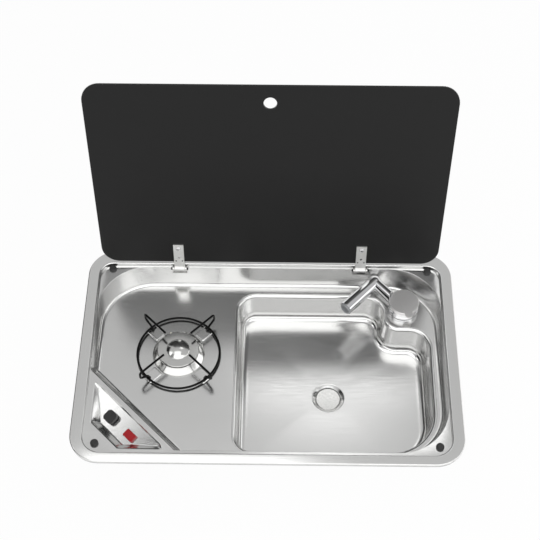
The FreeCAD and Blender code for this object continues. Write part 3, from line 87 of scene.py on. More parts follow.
# Hob recess at its rim and at its base: half width, front, rear and corner radius
RIM = {"x": 279.5, "front": -171.0, "rear": 166.75, "bend": 80.0}
BASE = {"x": 277.5, "front": -169.0, "rear": 155.25, "bend": 86.0}

# Radii at the foot of the seat's wall and at the recess's rim, and the ridge's depth as a share of its width
SEAT_FILLET = 0.5
RIM_EDGE = 0.5
RIDGE_DEPTH = 0.5

# Console in (s, t): s inwards along the diagonal from the seat's front left corner, t across it
CONSOLE_CORNER = np.array((-280.75, -179.0))
INWARDS = np.array((math.sqrt(0.5), math.sqrt(0.5)))
ACROSS = np.array((math.sqrt(0.5), -math.sqrt(0.5)))
RIDGE_TOP = 106.0
RIDGE_RUN = 12.0

# Right side of the console's tilted panel from its tip to its foot, its drop below the seat, and its slope
PANEL_SIDE = ((95.6, 73.0), (93.0, 69.0), (86.0, 60.5), (75.5, 45.5), (59.5, 26.0))
PANEL_SOFT = 4.0
PANEL_TOP_S = 97.0
PANEL_DROP = 2.5
PANEL_SLOPE = math.tan(math.radians(17.0))

# Land round the panel: its low end, its width, and how its edge cuts its upper and lower corners in (s, t)
LAND_S = 43.5
LAND_INSET = 8.0
LAND_SLANT = 9.0 * math.sqrt(0.5)
LAND_TIP = ((0.0, -14.4), (-2.2, -4.4), (-LAND_SLANT, -LAND_SLANT))
LAND_FOOT = ((4.0, 4.0), (0.0, -1.0))
LAND_SOFT = 3.0

# Wall between land and panel: its rows, and the shares over which its slope fades in and out
POCKET_ROWS = 19
POCKET_FADES = (0.3, 0.2)

# Middles in plan
BURNER = np.array((-146.0, 16.7))
WASTE = np.array((98.5, -29.0))

# Raised pads and support arms stand at these angles; a pad's reach, half width, corner radius, rise and lean
PAD_ANGLES = (45.0, 135.0, 225.0, 315.0)
PAD_INNER = 43.6
PAD_OUTER = 69.0
PAD_HALF = 9.5
PAD_BEND = 3.0
PAD_RISE = 1.2
PAD_LEAN = 1.6
PAD_ROWS = 9
PAD_FADES = (0.5, 0.5)
PAD_CORNER_STEPS = 5

# Bowl: lean of its wall, steps of its bends, and the rows of its floor as shares of the way to the waste
BOWL_DRAFT = 2.7
BOWL_STEPS = 10
FLOOR_SHARES = np.linspace(0.03, 1, 12)

# Waste recess: radii of the ring on the floor and of its level edge, then (radius, level below the floor)
WASTE_RING = 30.0
WASTE_EDGE = (28.5, 26.3)
WASTE_WELL = ((20.8, -6.0), (20.8, -10.3), (17.0, -10.3))
WASTE_SOFT = 0.9

# Pan support: radius, level and steps of its ring, and one arm as (distance from the middle, level)
RING_RADIUS = 66.6
RING_Z = DECK_Z + 5.2
RING_STEPS = 96
ARM = ((28.5, -1.0), (78.8, -1.0), (79.3, -15.0), (64.2, RING_Z + 3.5), (64.2, -35.8))
ARM_SOFT = 4.0
ARM_STEPS = 8
WIRE_EDGE = 0.5

# Burner cap as (radius, level) from its lower face to the foot of its dome, and the dome
CAP_LOW = -20.0
CAP_TOP = CAP_LOW + 2.5
DOME_RADIUS = 18.5
DOME_RISE = 4.2
DOME_STEPS = 16
CAP = (
    (0.0, CAP_LOW), (33.0, CAP_LOW), (33.0, CAP_TOP),
    (19.0, CAP_TOP - 0.25), (DOME_RADIUS, CAP_TOP - 0.2),
)
CAP_SOFT = 0.8

# Cone round the burner as (radius, level)
CONE = (
    (42.3, DECK_Z), (42.3, DECK_Z + 1.5), (33.1, DECK_Z + 10.5),
    (31.6, DECK_Z + 10.5), (31.6, DECK_Z),
)
CONE_SOFT = 1.0

# Hinges: their middles, axis and how far the lid stands open, with the leaf's lower face when shut
HINGE_X = 150.25
HINGE_AXIS = np.array((0.0, 162.7, 1.0))
LID_OPEN = math.radians(105.3)
LID_REAR = 150.5
LEAF_FACE = 1.5

# Fixings of a leaf as (radius, level from its face), and where they lie from the lid's rear edge
SCREW = ((0, -0.9), (2.4, -0.85), (3.7, -0.1), (3.7, 0.3), (0, 0.3))
SCREW_SOFT = 0.5
SCREW_FROM_REAR = 28.0
SCREW_STEPS = 28
RIVET = ((0, -0.35), (0.9, -0.3), (1.25, 0.0), (1.25, 0.3), (0, 0.3))
RIVET_SOFT = 0.2
RIVET_FROM_REAR = 3.4
RIVET_ASIDE = 5.2
RIVET_STEPS = 16

# Noise of every finish: the range that drives roughness, its detail, and the samples of a softened edge
NOISE_LOW = 0.3
NOISE_HIGH = 0.7
NOISE_DETAIL = 3.0
SOFT_SAMPLES = 6

# Camera found from the photograph, in pixels, millimetres and radians, with its far limit in metres
IMAGE_SIDE = 540.0
FOCAL_PX = 1049.37
PRINCIPAL_Y = 366.55
SENSOR = 36.0
EYE = (16.52, -857.04, 1429.8)
PITCH = math.radians(59.77)
YAW = math.radians(-0.95)
ROLL = math.radians(-0.20)
FAR_LIMIT = 50.0

# Studio floor in metres, how white it is to the camera and in the metal, and the strength of the room
STUDIO_Z = -0.1685
STUDIO_REACH = 30.0
STUDIO_GRID = 9
STUDIO_GLOW = 0.96
ROOM_LEVEL = 0.6

# Lamps: name, middle, the point that it faces, width and height in metres, and watts
SOFTBOXES = (
    ("softbox_over", (0.4, -0.75, 1.9), (0.4, -0.75, 0), (2.6, 1.3), 13.9),
    ("softbox_zenith", (-0.35, 0.2, 1.9), (-0.35, 0.2, 0), (0.9, 0.6), 2.1),
    ("softbox_front", (0.0, -2.2, 1.1), (0, 0, 0), (6.4, 1.3), 25.5),
    ("softbox_rear", (0.2, 1.2, 1.9), (0.2, 1.2, 0), (0.5, 0.3), 0.6),
    ("softbox_left", (-1.63, 0.34, 1.9), (-0.6, -0.7, 0), (0.7, 0.7), 2.3),
    ("softbox_right", (1.6, 0.0, 0.45), (0, 0, 0.1), (2.0, 0.6), 4.5),
)

# Share of height in a lamp's aim above which its sides follow the room's width and depth
STEEP = 0.9

# Dark cards: name, middle, half edges along and across, and bow, in metres
FLAGS = (
    ("flag_left", (-1.3, 0.375, 0.575), (0, 0.825, 0), (0, 0, 0.725), 0.08),
    ("flag_console", (-1.2, -0.09, 1.9), (0.21, 0.21, 0), (0.15, -0.15, 0), 0.02),
)
FLAG_GRID = (13, 9)

# Bodies that the new pieces ride on
UNIT = "unit"
LID = "lid"

# Nodes whose finish differs from the rest of their slot
OWN_FINISH = {
    "tap_handle": "chrome_satin",
    "hinge_leaf_left": "leaf_satin",
    "hinge_leaf_right": "leaf_satin",
}

# Name of the material made for each slot, filled in by the first operator
FINISH_NAMES = {}


def linear(code):
    """Linear colour of an sRGB hex code such as b8b8b6, by the standard's straight foot and power curve."""
    parts = np.array([int(code[i:i + 2], 16) for i in (0, 2, 4)]) / 255
    return tuple(np.where(parts <= 0.04045, parts / 12.92, ((parts + 0.055) / 1.055) ** 2.4).tolist())


class HobSinkSizes(bpy.types.PropertyGroup):
    """Sizes of the drawn sheet and wire that may be changed by taste."""

    sheet: FloatProperty(
        name="Sheet", description="Thickness of the stainless sheet",
        default=0.001, unit="LENGTH")
    flange_round: FloatProperty(
        name="Flange edge", description="Radius of the flange's two edges",
        default=0.002, unit="LENGTH")
    flange_fall: FloatProperty(
        name="Flange fall", description="How far the flange slopes down outwards",
        default=0.001, unit="LENGTH")
    ridge_round: FloatProperty(
        name="Console ridge", description="Softness of the console's ridge",
        default=0.0025, unit="LENGTH")
    deck_round: FloatProperty(
        name="Deck fillet", description="Radius between wall and deck",
        default=0.006, unit="LENGTH")
    bowl_round: FloatProperty(
        name="Bowl rim", description="Radius of the bowl's rolled rim",
        default=0.006, unit="LENGTH")
    bowl_fillet: FloatProperty(
        name="Bowl fillet", description="Radius between bowl wall and floor",
        default=0.012, unit="LENGTH")
    floor_fall: FloatProperty(
        name="Floor fall", description="Fall of the bowl floor to the waste",
        default=0.0016, unit="LENGTH")
    wire: FloatProperty(
        name="Support wire", description="Radius of the pan support's wire",
        default=0.00185, unit="LENGTH")


class HobSinkColours(bpy.types.PropertyGroup):
    """Colours a user may want to change."""

    steel: FloatVectorProperty(
        name="Steel", description="Stainless sheet", subtype="COLOR", default=linear("e1e1e0"))
    lid: FloatVectorProperty(
        name="Lid", description="Painted back of the glass", subtype="COLOR", default=linear("212121"))
    button: FloatVectorProperty(
        name="Button", description="Igniter button", subtype="COLOR", default=linear("9e1d24"))
    knob: FloatVectorProperty(
        name="Knob", description="Gas knob", subtype="COLOR", default=linear("303030"))


# Plain surface helpers

def unit(vectors):
    """Vectors of length one along the last axis."""
    return vectors / np.linalg.norm(vectors, axis=-1, keepdims=True)


def outline(corners, grow=0.0, steps=14, runs=10):
    """Closed loop of straight sides and tangent arcs: each corner's arc turns in equal steps about the point
    one radius inside both its sides, and grow moves every side outwards so that arcs stay concentric. The
    straight side after each arc has its own equal steps."""
    table = np.array(corners, dtype=float)
    points = table[:, :2]
    before = unit(points - np.roll(points, 1, axis=0))
    after = unit(np.roll(points, -1, axis=0) - points)
    out_before = np.stack((before[:, 1], -before[:, 0]), axis=1)
    out_after = np.stack((after[:, 1], -after[:, 0]), axis=1)
    side = np.sign(before[:, 0] * after[:, 1] - before[:, 1] * after[:, 0])
    bend = table[:, 2] + side * grow
    turn = np.arccos(np.clip((before * after).sum(axis=1), -1, 1))
    moved = grow / (1 + (out_before * out_after).sum(axis=1))
    vertex = points + (out_before + out_after) * moved[:, None]
    start = vertex - before * (bend * np.tan(turn / 2))[:, None]
    arm = out_before * (side * bend)[:, None]
    centre = start - arm
    angle = (turn * side)[:, None] * np.linspace(0, 1, steps + 1)
    x = arm[:, :1] * np.cos(angle) - arm[:, 1:] * np.sin(angle)
    y = arm[:, :1] * np.sin(angle) + arm[:, 1:] * np.cos(angle)
    arcs = centre[:, None, :] + np.stack((x, y), axis=2)
    leave = arcs[:, -1:]
    arrive = np.roll(arcs[:, :1], -1, axis=0)
    share = np.linspace(0, 1, runs + 1)[None, 1:-1, None]
    straights = leave + (arrive - leave) * share
    return np.concatenate((arcs, straights), axis=1).reshape(-1, 2)


def lifted(loop, level):
    """Plan loop raised to a level, or to one level per point."""
    return np.column_stack((loop, np.broadcast_to(level, len(loop))))


def quarter(steps=8):
    """Cosine and sine of every equal step of a quarter turn."""
    angle = np.linspace(0, math.pi / 2, steps + 1)
    return np.column_stack((np.cos(angle), np.sin(angle)))


def bands(rows, closed=True):
    """Points and quads of a grid of rows; each row joins the next, and closes on itself if asked."""
    rows = np.asarray(rows)
    count, width = rows.shape[:2]
    index = np.arange(count * width).reshape(count, width)
    if closed:
        index = np.column_stack((index, index[:, :1]))
    corners = (index[:-1, :-1], index[:-1, 1:], index[1:, 1:], index[1:, :-1])
    return rows.reshape(-1, 3), np.stack(corners, axis=-1).reshape(-1, 4)


def inside(points, loop):
    """Whether plan points lie in a closed loop, by the parity of sides that a ray along +X crosses."""
    x = points[:, :1]
    y = points[:, 1:]
    start_x, start_y = loop.T
    end_x, end_y = np.roll(loop, -1, axis=0).T
    spans = (start_y > y) != (end_y > y)
    rise = np.where(end_y == start_y, 1.0, end_y - start_y)
    crossing = start_x + (y - start_y) * (end_x - start_x) / rise
    return (spans & (x < crossing)).sum(axis=1) % 2 == 1


def filled(outer, holes, level):
    """Flat face inside one loop and outside others, as Delaunay triangles that keep every loop's sides;
    slivers between points in line are left out."""
    loops = [outer, *holes]
    points = np.vstack(loops)
    ends = np.cumsum([len(loop) for loop in loops])
    starts = np.concatenate(([0], ends[:-1]))
    following = np.arange(len(points)) + 1
    following[ends - 1] = starts
    edges = np.column_stack((np.arange(len(points)), following))
    found = delaunay_2d_cdt(points.tolist(), edges.tolist(), [], 0, SAME_POINT)
    plan = np.array(found[0])
    corners = np.array(found[2])
    middles = plan[corners].mean(axis=1)
    sides = plan[corners[:, 1:]] - plan[corners[:, :1]]
    doubled = np.abs(sides[:, 0, 0] * sides[:, 1, 1] - sides[:, 0, 1] * sides[:, 1, 0])
    keep = inside(middles, outer) & (doubled > SLIVER)
    for hole in holes:
        keep &= ~inside(middles, hole)
    return lifted(plan, level), corners[keep]


def turned(profile, middle, steps=72):
    """Surface of revolution: each (radius, level) of the profile carried once round a vertical line."""
    line = np.asarray(profile, dtype=float)
    angle = np.linspace(0, 2 * math.pi, steps, endpoint=False)
    x = middle[0] + line[:, :1] * np.cos(angle)
    y = middle[1] + line[:, :1] * np.sin(angle)
    z = np.broadcast_to(line[:, 1:], x.shape)
    return bands(np.stack((x, y, z), axis=2))


def softened(points, reach, steps=6, most=0.48):
    """Polyline whose inner corners are replaced by parabolic arcs that start and end a reach away, or the
    most share of the shorter side where that is less."""
    line = np.asarray(points, dtype=float)
    corner = line[1:-1]
    back = line[:-2] - corner
    ahead = line[2:] - corner
    limit = most * np.minimum(np.linalg.norm(back, axis=1), np.linalg.norm(ahead, axis=1))
    span = np.minimum(reach, limit)[:, None]
    first = corner + unit(back) * span
    last = corner + unit(ahead) * span
    t = np.linspace(0, 1, steps + 1)[None, :, None]
    arcs = (1 - t) ** 2 * first[:, None] + 2 * t * (1 - t) * corner[:, None] + t ** 2 * last[:, None]
    return np.vstack((line[:1], arcs.reshape(-1, line.shape[1]), line[-1:]))


def tube(path, radius, reference, sides=20, closed=False):
    """Round tube: a circle carried along a path, square to it, turned so that its first point faces the
    reference direction; radius may be one number or one per path point."""
    line = np.asarray(path, dtype=float)
    if closed:
        ahead = np.roll(line, -1, axis=0) - np.roll(line, 1, axis=0)
    else:
        ahead = np.gradient(line, axis=0)
    heading = unit(ahead)
    facing = np.broadcast_to(np.asarray(reference, dtype=float), line.shape)
    first = unit(facing - heading * (facing * heading).sum(axis=1, keepdims=True))
    second = np.cross(heading, first)
    angle = np.linspace(0, 2 * math.pi, sides, endpoint=False)[None, :, None]
    reach = np.broadcast_to(radius, len(line))[:, None, None]
    rows = line[:, None] + reach * (np.cos(angle) * first[:, None] + np.sin(angle) * second[:, None])
    if closed:
        rows = np.concatenate((rows, rows[:1]))
    return bands(rows)


def capped(path, radius, edge, crown=0.05, steps=4):
    """Path and radii of a rod whose ends have a quarter-round edge and a low cone as crown."""
    line = np.asarray(path, dtype=float)
    cosine, sine = quarter(steps)[:-1].T
    slim = np.concatenate(([0.0], radius - edge + edge * sine))
    inset = np.concatenate(([0.0], crown + edge * (1 - cosine)))
    head = unit(line[1] - line[0])
    tail = unit(line[-2] - line[-1])
    start = line[0] + head * inset[:, None]
    end = line[-1] + tail * inset[::-1, None]
    body = line.copy()
    body[0] = line[0] + head * (crown + edge)
    body[-1] = line[-1] + tail * (crown + edge)
    radii = np.concatenate((slim, np.full(len(body), radius), slim[::-1]))
    return np.vstack((start, body, end)), radii


def joined(blocks):
    """Several (points, faces) blocks as one list of points and one list of faces."""
    counts = np.cumsum([0] + [len(points) for points, _ in blocks])
    points = np.vstack([block[0] for block in blocks])
    faces = []
    for (_, corners), start in zip(blocks, counts):
        faces.extend((np.asarray(corners) + start).tolist())
    return points, faces


def placed(name, data):
    """New object of some data, linked into the scene."""
    made = bpy.data.objects.new(name, data)
    bpy.context.scene.collection.objects.link(made)
    return made


def piece(name, blocks, finish, body, nodes, sheet=0.0):
    """Make one smooth piece from blocks in millimetres, weld its seams, tie it to its body and hide the
    nodes it stands in for;
    a sheet's thickness in metres lies behind its faces."""
    points, faces = joined(blocks)
    mesh = bpy.data.meshes.new(name)
    mesh.from_pydata((points * MM).tolist(), [], faces)
    work = bmesh.new()
    work.from_mesh(mesh)
    bmesh.ops.remove_doubles(work, verts=work.verts, dist=WELD)
    bmesh.ops.dissolve_degenerate(work, edges=work.edges, dist=NO_LENGTH)
    work.to_mesh(mesh)
    work.free()
    mesh.polygons.foreach_set("use_smooth", np.ones(len(mesh.polygons), dtype=bool))
    mesh.materials.append(finish)
    made = placed(name, mesh)
    if sheet:
        shell = made.modifiers.new("Sheet", "SOLIDIFY")
        shell.thickness = sheet
        shell.offset = -1.0
    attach(made, body)
    if nodes:
        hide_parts(*nodes)


# Finishes

def bare_tree(owner):
    """Emptied node tree of a new material or world."""
    owner.use_nodes = True
    owner.node_tree.nodes.clear()
    return owner.node_tree


def add(tree, kind, inputs=None, **settings):
    """Add one shader node with its settings, and set or link its inputs."""
    made = tree.nodes.new(kind)
    for key, value in settings.items():
        setattr(made, key, value)
    for key, value in (inputs or {}).items():
        if isinstance(value, bpy.types.NodeSocket):
            tree.links.new(value, made.inputs[key])
        else:
            made.inputs[key].default_value = value
    return made


def finish(name, colour, grain, rough, bump, metal=0.0, stretch=(1, 1, 1), soften=0.0, specular=0.5):
    """Procedural finish: noise of a real grain in millimetres drives roughness between two values and a
    bump of that height in millimetres; stretch draws the grain out; soften rounds edges by that many
    millimetres; metal and specular are the same all over."""
    made = bpy.data.materials.new(name)
    tree = bare_tree(made)
    place = add(tree, "ShaderNodeTexCoord")
    spread = add(tree, "ShaderNodeMapping", {
        "Vector": place.outputs["Object"], "Scale": tuple(1 / (grain * s * MM) for s in stretch)})
    noise = add(tree, "ShaderNodeTexNoise", {
        "Vector": spread.outputs["Vector"], "Scale": 1.0, "Detail": NOISE_DETAIL})
    ranged = add(tree, "ShaderNodeMapRange", {
        "Value": noise.outputs["Fac"], "From Min": NOISE_LOW, "From Max": NOISE_HIGH,
        "To Min": rough[0], "To Max": rough[1]})
    relief = {"Height": noise.outputs["Fac"], "Distance": bump * MM, "Strength": 1.0}
    if soften:
        rounded = add(tree, "ShaderNodeBevel", {"Radius": soften * MM}, samples=SOFT_SAMPLES)
        relief["Normal"] = rounded.outputs["Normal"]
    raised = add(tree, "ShaderNodeBump", relief)
    shader = add(tree, "ShaderNodeBsdfPrincipled", {
        "Base Color": (*colour, 1.0), "Metallic": metal, "Roughness": ranged.outputs["Result"],
        "Normal": raised.outputs["Normal"], "Specular IOR Level": specular})
    add(tree, "ShaderNodeOutputMaterial", {"Surface": shader.outputs["BSDF"]})
    return made


def finishes(colours):
    """Every finish, by the record's slot."""
    return {
        # Cold-rolled stainless, satin: a soft mirror with faint streaks along the sheet's length
        "stainless_steel": finish(
            "stainless_satin_sheet", colours.steel, grain=2.0, rough=(0.17, 0.22), bump=0.0004,
            metal=1.0, stretch=(16, 1, 1), soften=0.5),
        # Toughened glass painted black behind: even dark grey with a clean faint reflection
        "black_glass": finish(
            "toughened_glass_black_back", colours.lid, grain=60.0, rough=(0.3, 0.36), bump=0.0004,
            specular=0.15),
        # Fired enamel on wire: black, glossy, a little uneven
        "black_enamel": finish(
            "enamel_black_fired", linear("060606"), grain=3.0, rough=(0.3, 0.45), bump=0.01,
            specular=0.15),
        # Plated brass: a clear mirror with a hint of waviness
        "chrome": finish(
            "chrome_plate_bright", linear("dcdcdd"), grain=9.0, rough=(0.04, 0.09), bump=0.002,
            metal=1.0, soften=0.6),
        # Brushed plate on the tap's flat handle: an even grey without a clear reflection
        "chrome_satin": finish(
            "chrome_plate_satin", linear("e6e5e4"), grain=1.5, rough=(0.36, 0.44), bump=0.004,
            metal=1.0, soften=0.4),
        # Buffed stainless: brighter and sharper than the sheet
        "polished_steel": finish(
            "stainless_buffed", linear("d6d6d4"), grain=4.0, rough=(0.13, 0.20), bump=0.002,
            metal=1.0, soften=0.4),
        # Blasted stainless on the hinge leaves: pale and even
        "leaf_satin": finish(
            "stainless_blasted", linear("f0f0ee"), grain=1.5, rough=(0.34, 0.44), bump=0.006,
            metal=1.0, soften=0.4),
        # Zinc plate: dull grey with small crystals
        "zinc_steel": finish(
            "zinc_plate_passivated", linear("a9adb0"), grain=2.5, rough=(0.35, 0.5), bump=0.01, metal=1.0),
        # Die casting: grainy and matt
        "cast_aluminium": finish(
            "aluminium_die_cast", linear("a7a7a5"), grain=1.6, rough=(0.45, 0.6), bump=0.03, metal=1.0),
        # Turned brass: warm, with fine tool marks drawn coarser than real so that they show
        "brass": finish(
            "brass_turned", linear("c9a24a"), grain=1.2, rough=(0.2, 0.32), bump=0.006,
            metal=1.0, stretch=(4, 4, 1)),
        # Drawn copper tube: warm and slightly oxidised
        "copper_pipe": finish(
            "copper_drawn", linear("c07a58"), grain=6.0, rough=(0.25, 0.4), bump=0.004, metal=1.0),
        # Moulded rubber: dark and matt
        "black_rubber": finish(
            "rubber_moulded", linear("2b2b2b"), grain=1.4, rough=(0.55, 0.7), bump=0.03),
        # Closed-cell foam strip: pale grey with small pores
        "grey_foam": finish(
            "foam_closed_cell", linear("6b6d6f"), grain=1.5, rough=(0.8, 0.95), bump=0.12),
        # Glass-filled nylon: dark grey with a fine moulded grain
        "black_plastic": finish(
            "nylon_moulded_black", colours.knob, grain=1.2, rough=(0.4, 0.5), bump=0.015,
            soften=0.8, specular=0.3),
        # Polypropylene: pale grey and waxy
        "grey_plastic": finish(
            "polypropylene_grey", linear("9a9c9e"), grain=2.0, rough=(0.4, 0.5), bump=0.01),
        # Gloss ABS: saturated red with a soft highlight
        "red_plastic": finish(
            "abs_red_gloss", colours.button, grain=1.5, rough=(0.32, 0.4), bump=0.008,
            soften=0.8, specular=0.25),
        # Glazed ceramic: off-white
        "white_ceramic": finish(
            "ceramic_glazed", linear("e6e2d8"), grain=2.0, rough=(0.15, 0.25), bump=0.004),
        # Silicone lead: matt red sleeve
        "red_silicone": finish(
            "silicone_sleeve", linear("a03024"), grain=1.5, rough=(0.5, 0.62), bump=0.01),
    }


# Outlines that the pressing is made of

def console_plan(place):
    """Plan points of (s, t) points of the console."""
    return CONSOLE_CORNER + np.multiply.outer(place[:, 0], INWARDS) + np.multiply.outer(place[:, 1], ACROSS)


def recess_loop(edge, ridge, grow=0.0, junction=9.0):
    """Loop of the hob recess at one level: a rounded rectangle whose front left corner is cut off by the
    console's diagonal at a given distance from the seat's corner."""
    x = edge["x"]
    front = edge["front"]
    rear = edge["rear"]
    bend = edge["bend"]
    total = CONSOLE_CORNER.sum() + ridge * math.sqrt(2)
    corners = (
        (total - front, front, junction), (x, front, bend), (x, rear, bend),
        (-x, rear, bend), (-x, total + x, junction),
    )
    return outline(corners, grow)


def ridge_at(level):
    """Diagonal distance of the console's wall at a level."""
    return RIDGE_TOP + RIDGE_RUN * (SEAT_Z - level) / (SEAT_Z - DECK_Z)


def sides_sampled(sides, count=24):
    """Closed loop from polylines laid end to end, each sampled at equal shares of its length."""
    share = np.linspace(0, 1, count, endpoint=False)
    parts = []
    for side in sides:
        line = np.asarray(side, dtype=float)
        run = np.concatenate(([0.0], np.cumsum(np.linalg.norm(np.diff(line, axis=0), axis=1))))
        at = share * run[-1]
        parts.append(np.column_stack((np.interp(at, run, line[:, 0]), np.interp(at, run, line[:, 1]))))
    return np.vstack(parts)


def pocket_loops():
    """Two matching loops in (s, t) of the console's pocket, its edge on the land and the panel's edge: each
    is a right side with softened corners, its mirror image, and the straight lines between their ends."""
    inset = math.sqrt(2) * LAND_INSET
    tip = np.array((PANEL_TOP_S, PANEL_TOP_S - inset)) + LAND_TIP
    foot = np.array((LAND_S, LAND_S - inset)) + LAND_FOOT
    land_side = softened(np.vstack((tip, foot)), LAND_SOFT)
    panel_side = softened(PANEL_SIDE, PANEL_SOFT)
    loops = []
    for right in (land_side, panel_side):
        left = right[::-1] * (1, -1)
        low = np.array((right[-1], left[0]))
        high = np.array((left[-1], right[0]))
        loops.append(sides_sampled((right, low, left, high))[::-1])
    return loops


def ramp(share, fades, samples=400):
    """Height share of a wall whose slope fades in over its start and out over its end."""
    fine = np.linspace(0, 1, samples)
    slope = np.clip(fine / fades[0], 0, 1) * np.clip((1 - fine) / fades[1], 0, 1)
    height = np.concatenate(([0.0], np.cumsum(slope[:-1])))
    return np.interp(share, fine, height / height[-1])


# Pieces

def pressing_rows(sizes):
    """Rows of the flange with the seat's wall, and of the recess, each from its outer edge inwards: outlines
    that follow a quarter turn at every bend, with a level strip beside each flat face."""
    turn = quarter()
    edge = sizes.flange_round / MM
    outer_top = FLANGE_TOP - sizes.flange_fall / MM
    flange = [lifted(outline(FLANGE), SKIRT_LOW)]
    for c, s in turn:
        flange.append(lifted(outline(FLANGE, edge * (c - 1)), outer_top + edge * (s - 1)))
    flange.append(lifted(outline(SEAT, edge + FLAT_STRIP), FLANGE_TOP))
    for c, s in turn:
        flange.append(lifted(outline(SEAT, edge * (1 - s)), FLANGE_TOP + edge * (c - 1)))
    for c, s in turn:
        flange.append(lifted(outline(SEAT, SEAT_FILLET * (c - 1)), SEAT_Z + SEAT_FILLET * (1 - s)))
    soft = sizes.ridge_round / MM
    recess = []
    for c, s in turn:
        loop = recess_loop(RIM, RIDGE_TOP - soft * (1 - s), RIM_EDGE * (1 - s))
        recess.append(lifted(loop, SEAT_Z - soft * (1 - c) * RIDGE_DEPTH))
    fillet = sizes.deck_round / MM
    foot = ridge_at(WALL_LOW)
    for c, s in turn:
        recess.append(lifted(recess_loop(BASE, foot, fillet * (c - 1)), DECK_Z + fillet * (1 - s)))
    recess.append(lifted(recess_loop(BASE, foot, -fillet - FLAT_STRIP), DECK_Z))
    return flange, recess


def panel_level(s):
    """Level of the tilted panel at a diagonal distance."""
    return SEAT_Z - PANEL_DROP - (PANEL_TOP_S - s) * PANEL_SLOPE


def pocket_rows():
    """Rows of the console's pocket from its edge on the land to a loop just inside the tilted panel; the
    first and last rows lie in the flat faces that they join, so that those stay flat to their edges."""
    land, panel = pocket_loops()
    share = np.linspace(0, 1, POCKET_ROWS)
    height = ramp(share, POCKET_FADES)
    plan = land + (panel - land) * share[:, None, None]
    level = SEAT_Z + (panel_level(panel[:, 0]) - SEAT_Z) * height[:, None]
    outer = land + unit(land - land.mean(axis=0)) * FLAT_STRIP
    inner = panel + unit(panel.mean(axis=0) - panel) * FLAT_STRIP
    rows = [lifted(console_plan(outer), SEAT_Z)]
    rows += [lifted(console_plan(p), z) for p, z in zip(plan, level)]
    rows.append(lifted(console_plan(inner), panel_level(inner[:, 0])))
    return rows


def pad_rows(angle):
    """Rows of one raised pad under the pan support: a rounded rectangle that shrinks by its lean while it
    rises from the deck to its top, then turned about the burner by an angle in degrees."""
    corners = (
        (PAD_INNER, -PAD_HALF, PAD_BEND), (PAD_OUTER, -PAD_HALF, PAD_BEND),
        (PAD_OUTER, PAD_HALF, PAD_BEND), (PAD_INNER, PAD_HALF, PAD_BEND),
    )
    share = np.linspace(0, 1, PAD_ROWS)
    grows = np.concatenate(([FLAT_STRIP], -PAD_LEAN * share, [-PAD_LEAN - FLAT_STRIP]))
    rises = np.concatenate(([0.0], PAD_RISE * ramp(share, PAD_FADES), [PAD_RISE]))
    a = math.radians(angle)
    spin = np.array(((math.cos(a), math.sin(a)), (-math.sin(a), math.cos(a))))
    rows = []
    for grow, rise in zip(grows, rises):
        rows.append(lifted(outline(corners, grow, PAD_CORNER_STEPS) @ spin + BURNER, DECK_Z + rise))
    return rows


def build_pressing(sizes, steel):
    """Drawn top: flange, seat, recess and console as bands of outlines, with flat faces between them."""
    flange, recess = pressing_rows(sizes)
    pocket = pocket_rows()
    pads = [pad_rows(angle) for angle in PAD_ANGLES]
    rim = sizes.bowl_round / MM
    mouth = [lifted(outline(BOWL, rim + FLAT_STRIP), DECK_Z), lifted(outline(BOWL, rim), DECK_Z)]
    blocks = [bands(flange), bands(recess), bands(pocket), bands(mouth)]
    blocks.append(filled(flange[-1][:, :2], [recess[0][:, :2], pocket[0][:, :2]], SEAT_Z))
    holes = [mouth[0][:, :2]] + [pad[0][:, :2] for pad in pads]
    blocks.append(filled(recess[-1][:, :2], holes, DECK_Z))
    for pad in pads:
        blocks.append(bands(pad))
        blocks.append(filled(pad[-1][:, :2], [], pad[-1][0, 2]))
    panel_points, panel_faces = filled(pocket[-1][:, :2], [], 0.0)
    panel_points[:, 2] = panel_level((panel_points[:, :2] - CONSOLE_CORNER) @ INWARDS)
    blocks.append((panel_points, panel_faces))
    piece("drawn_top", blocks, steel, UNIT, ["top_pressing"], sizes.sheet)


def build_bowl(sizes, steel):
    """Drawn bowl: its outline carried down a rolled rim, a leaning wall and a fillet, then drawn in straight
    lines to the round waste recess so that each side falls as a plane and each corner as a faint crease."""
    rim = sizes.bowl_round / MM
    fillet = sizes.bowl_fillet / MM
    fall = sizes.floor_fall / MM
    turn = quarter(BOWL_STEPS)
    rows = [lifted(outline(BOWL, rim * (1 - s)), DECK_Z - rim * (1 - c)) for c, s in turn]
    for c, s in turn:
        rows.append(lifted(outline(BOWL, fillet * (c - 1) - BOWL_DRAFT), BOWL_Z + fillet * (1 - s)))
    edge = rows[-1][:, :2]
    outwards = unit(edge - WASTE)
    ring = WASTE + outwards * WASTE_RING
    for share in FLOOR_SHARES:
        rows.append(lifted(edge + (ring - edge) * share, BOWL_Z - fall * share))
    lip = [(radius, -fall) for radius in WASTE_EDGE]
    for radius, drop in softened((*lip, *WASTE_WELL), WASTE_SOFT):
        rows.append(lifted(WASTE + outwards * radius, BOWL_Z + drop))
    piece("drawn_bowl", [bands(rows)], steel, UNIT, ["sink_bowl"], sizes.sheet)


def build_support(sizes, enamel):
    """Pan support: a wire ring, and four wires bent from the ring up and in over the burner."""
    wire = sizes.wire / MM
    middle = np.array((*BURNER, 0.0))
    angle = np.linspace(0, 2 * math.pi, RING_STEPS, endpoint=False)
    loop = lifted(RING_RADIUS * np.column_stack((np.cos(angle), np.sin(angle))), RING_Z)
    blocks = [tube(loop + middle, wire, (0, 0, 1), closed=True)]
    away, level = softened(ARM, ARM_SOFT, ARM_STEPS).T
    for degrees in PAD_ANGLES:
        a = math.radians(degrees)
        path = np.column_stack((away * math.cos(a), away * math.sin(a), level)) + middle
        rod, radii = capped(path, wire, WIRE_EDGE)
        blocks.append(tube(rod, radii, (-math.sin(a), math.cos(a), 0)))
    piece("support_wire", blocks, enamel, UNIT, ["pan_support"])


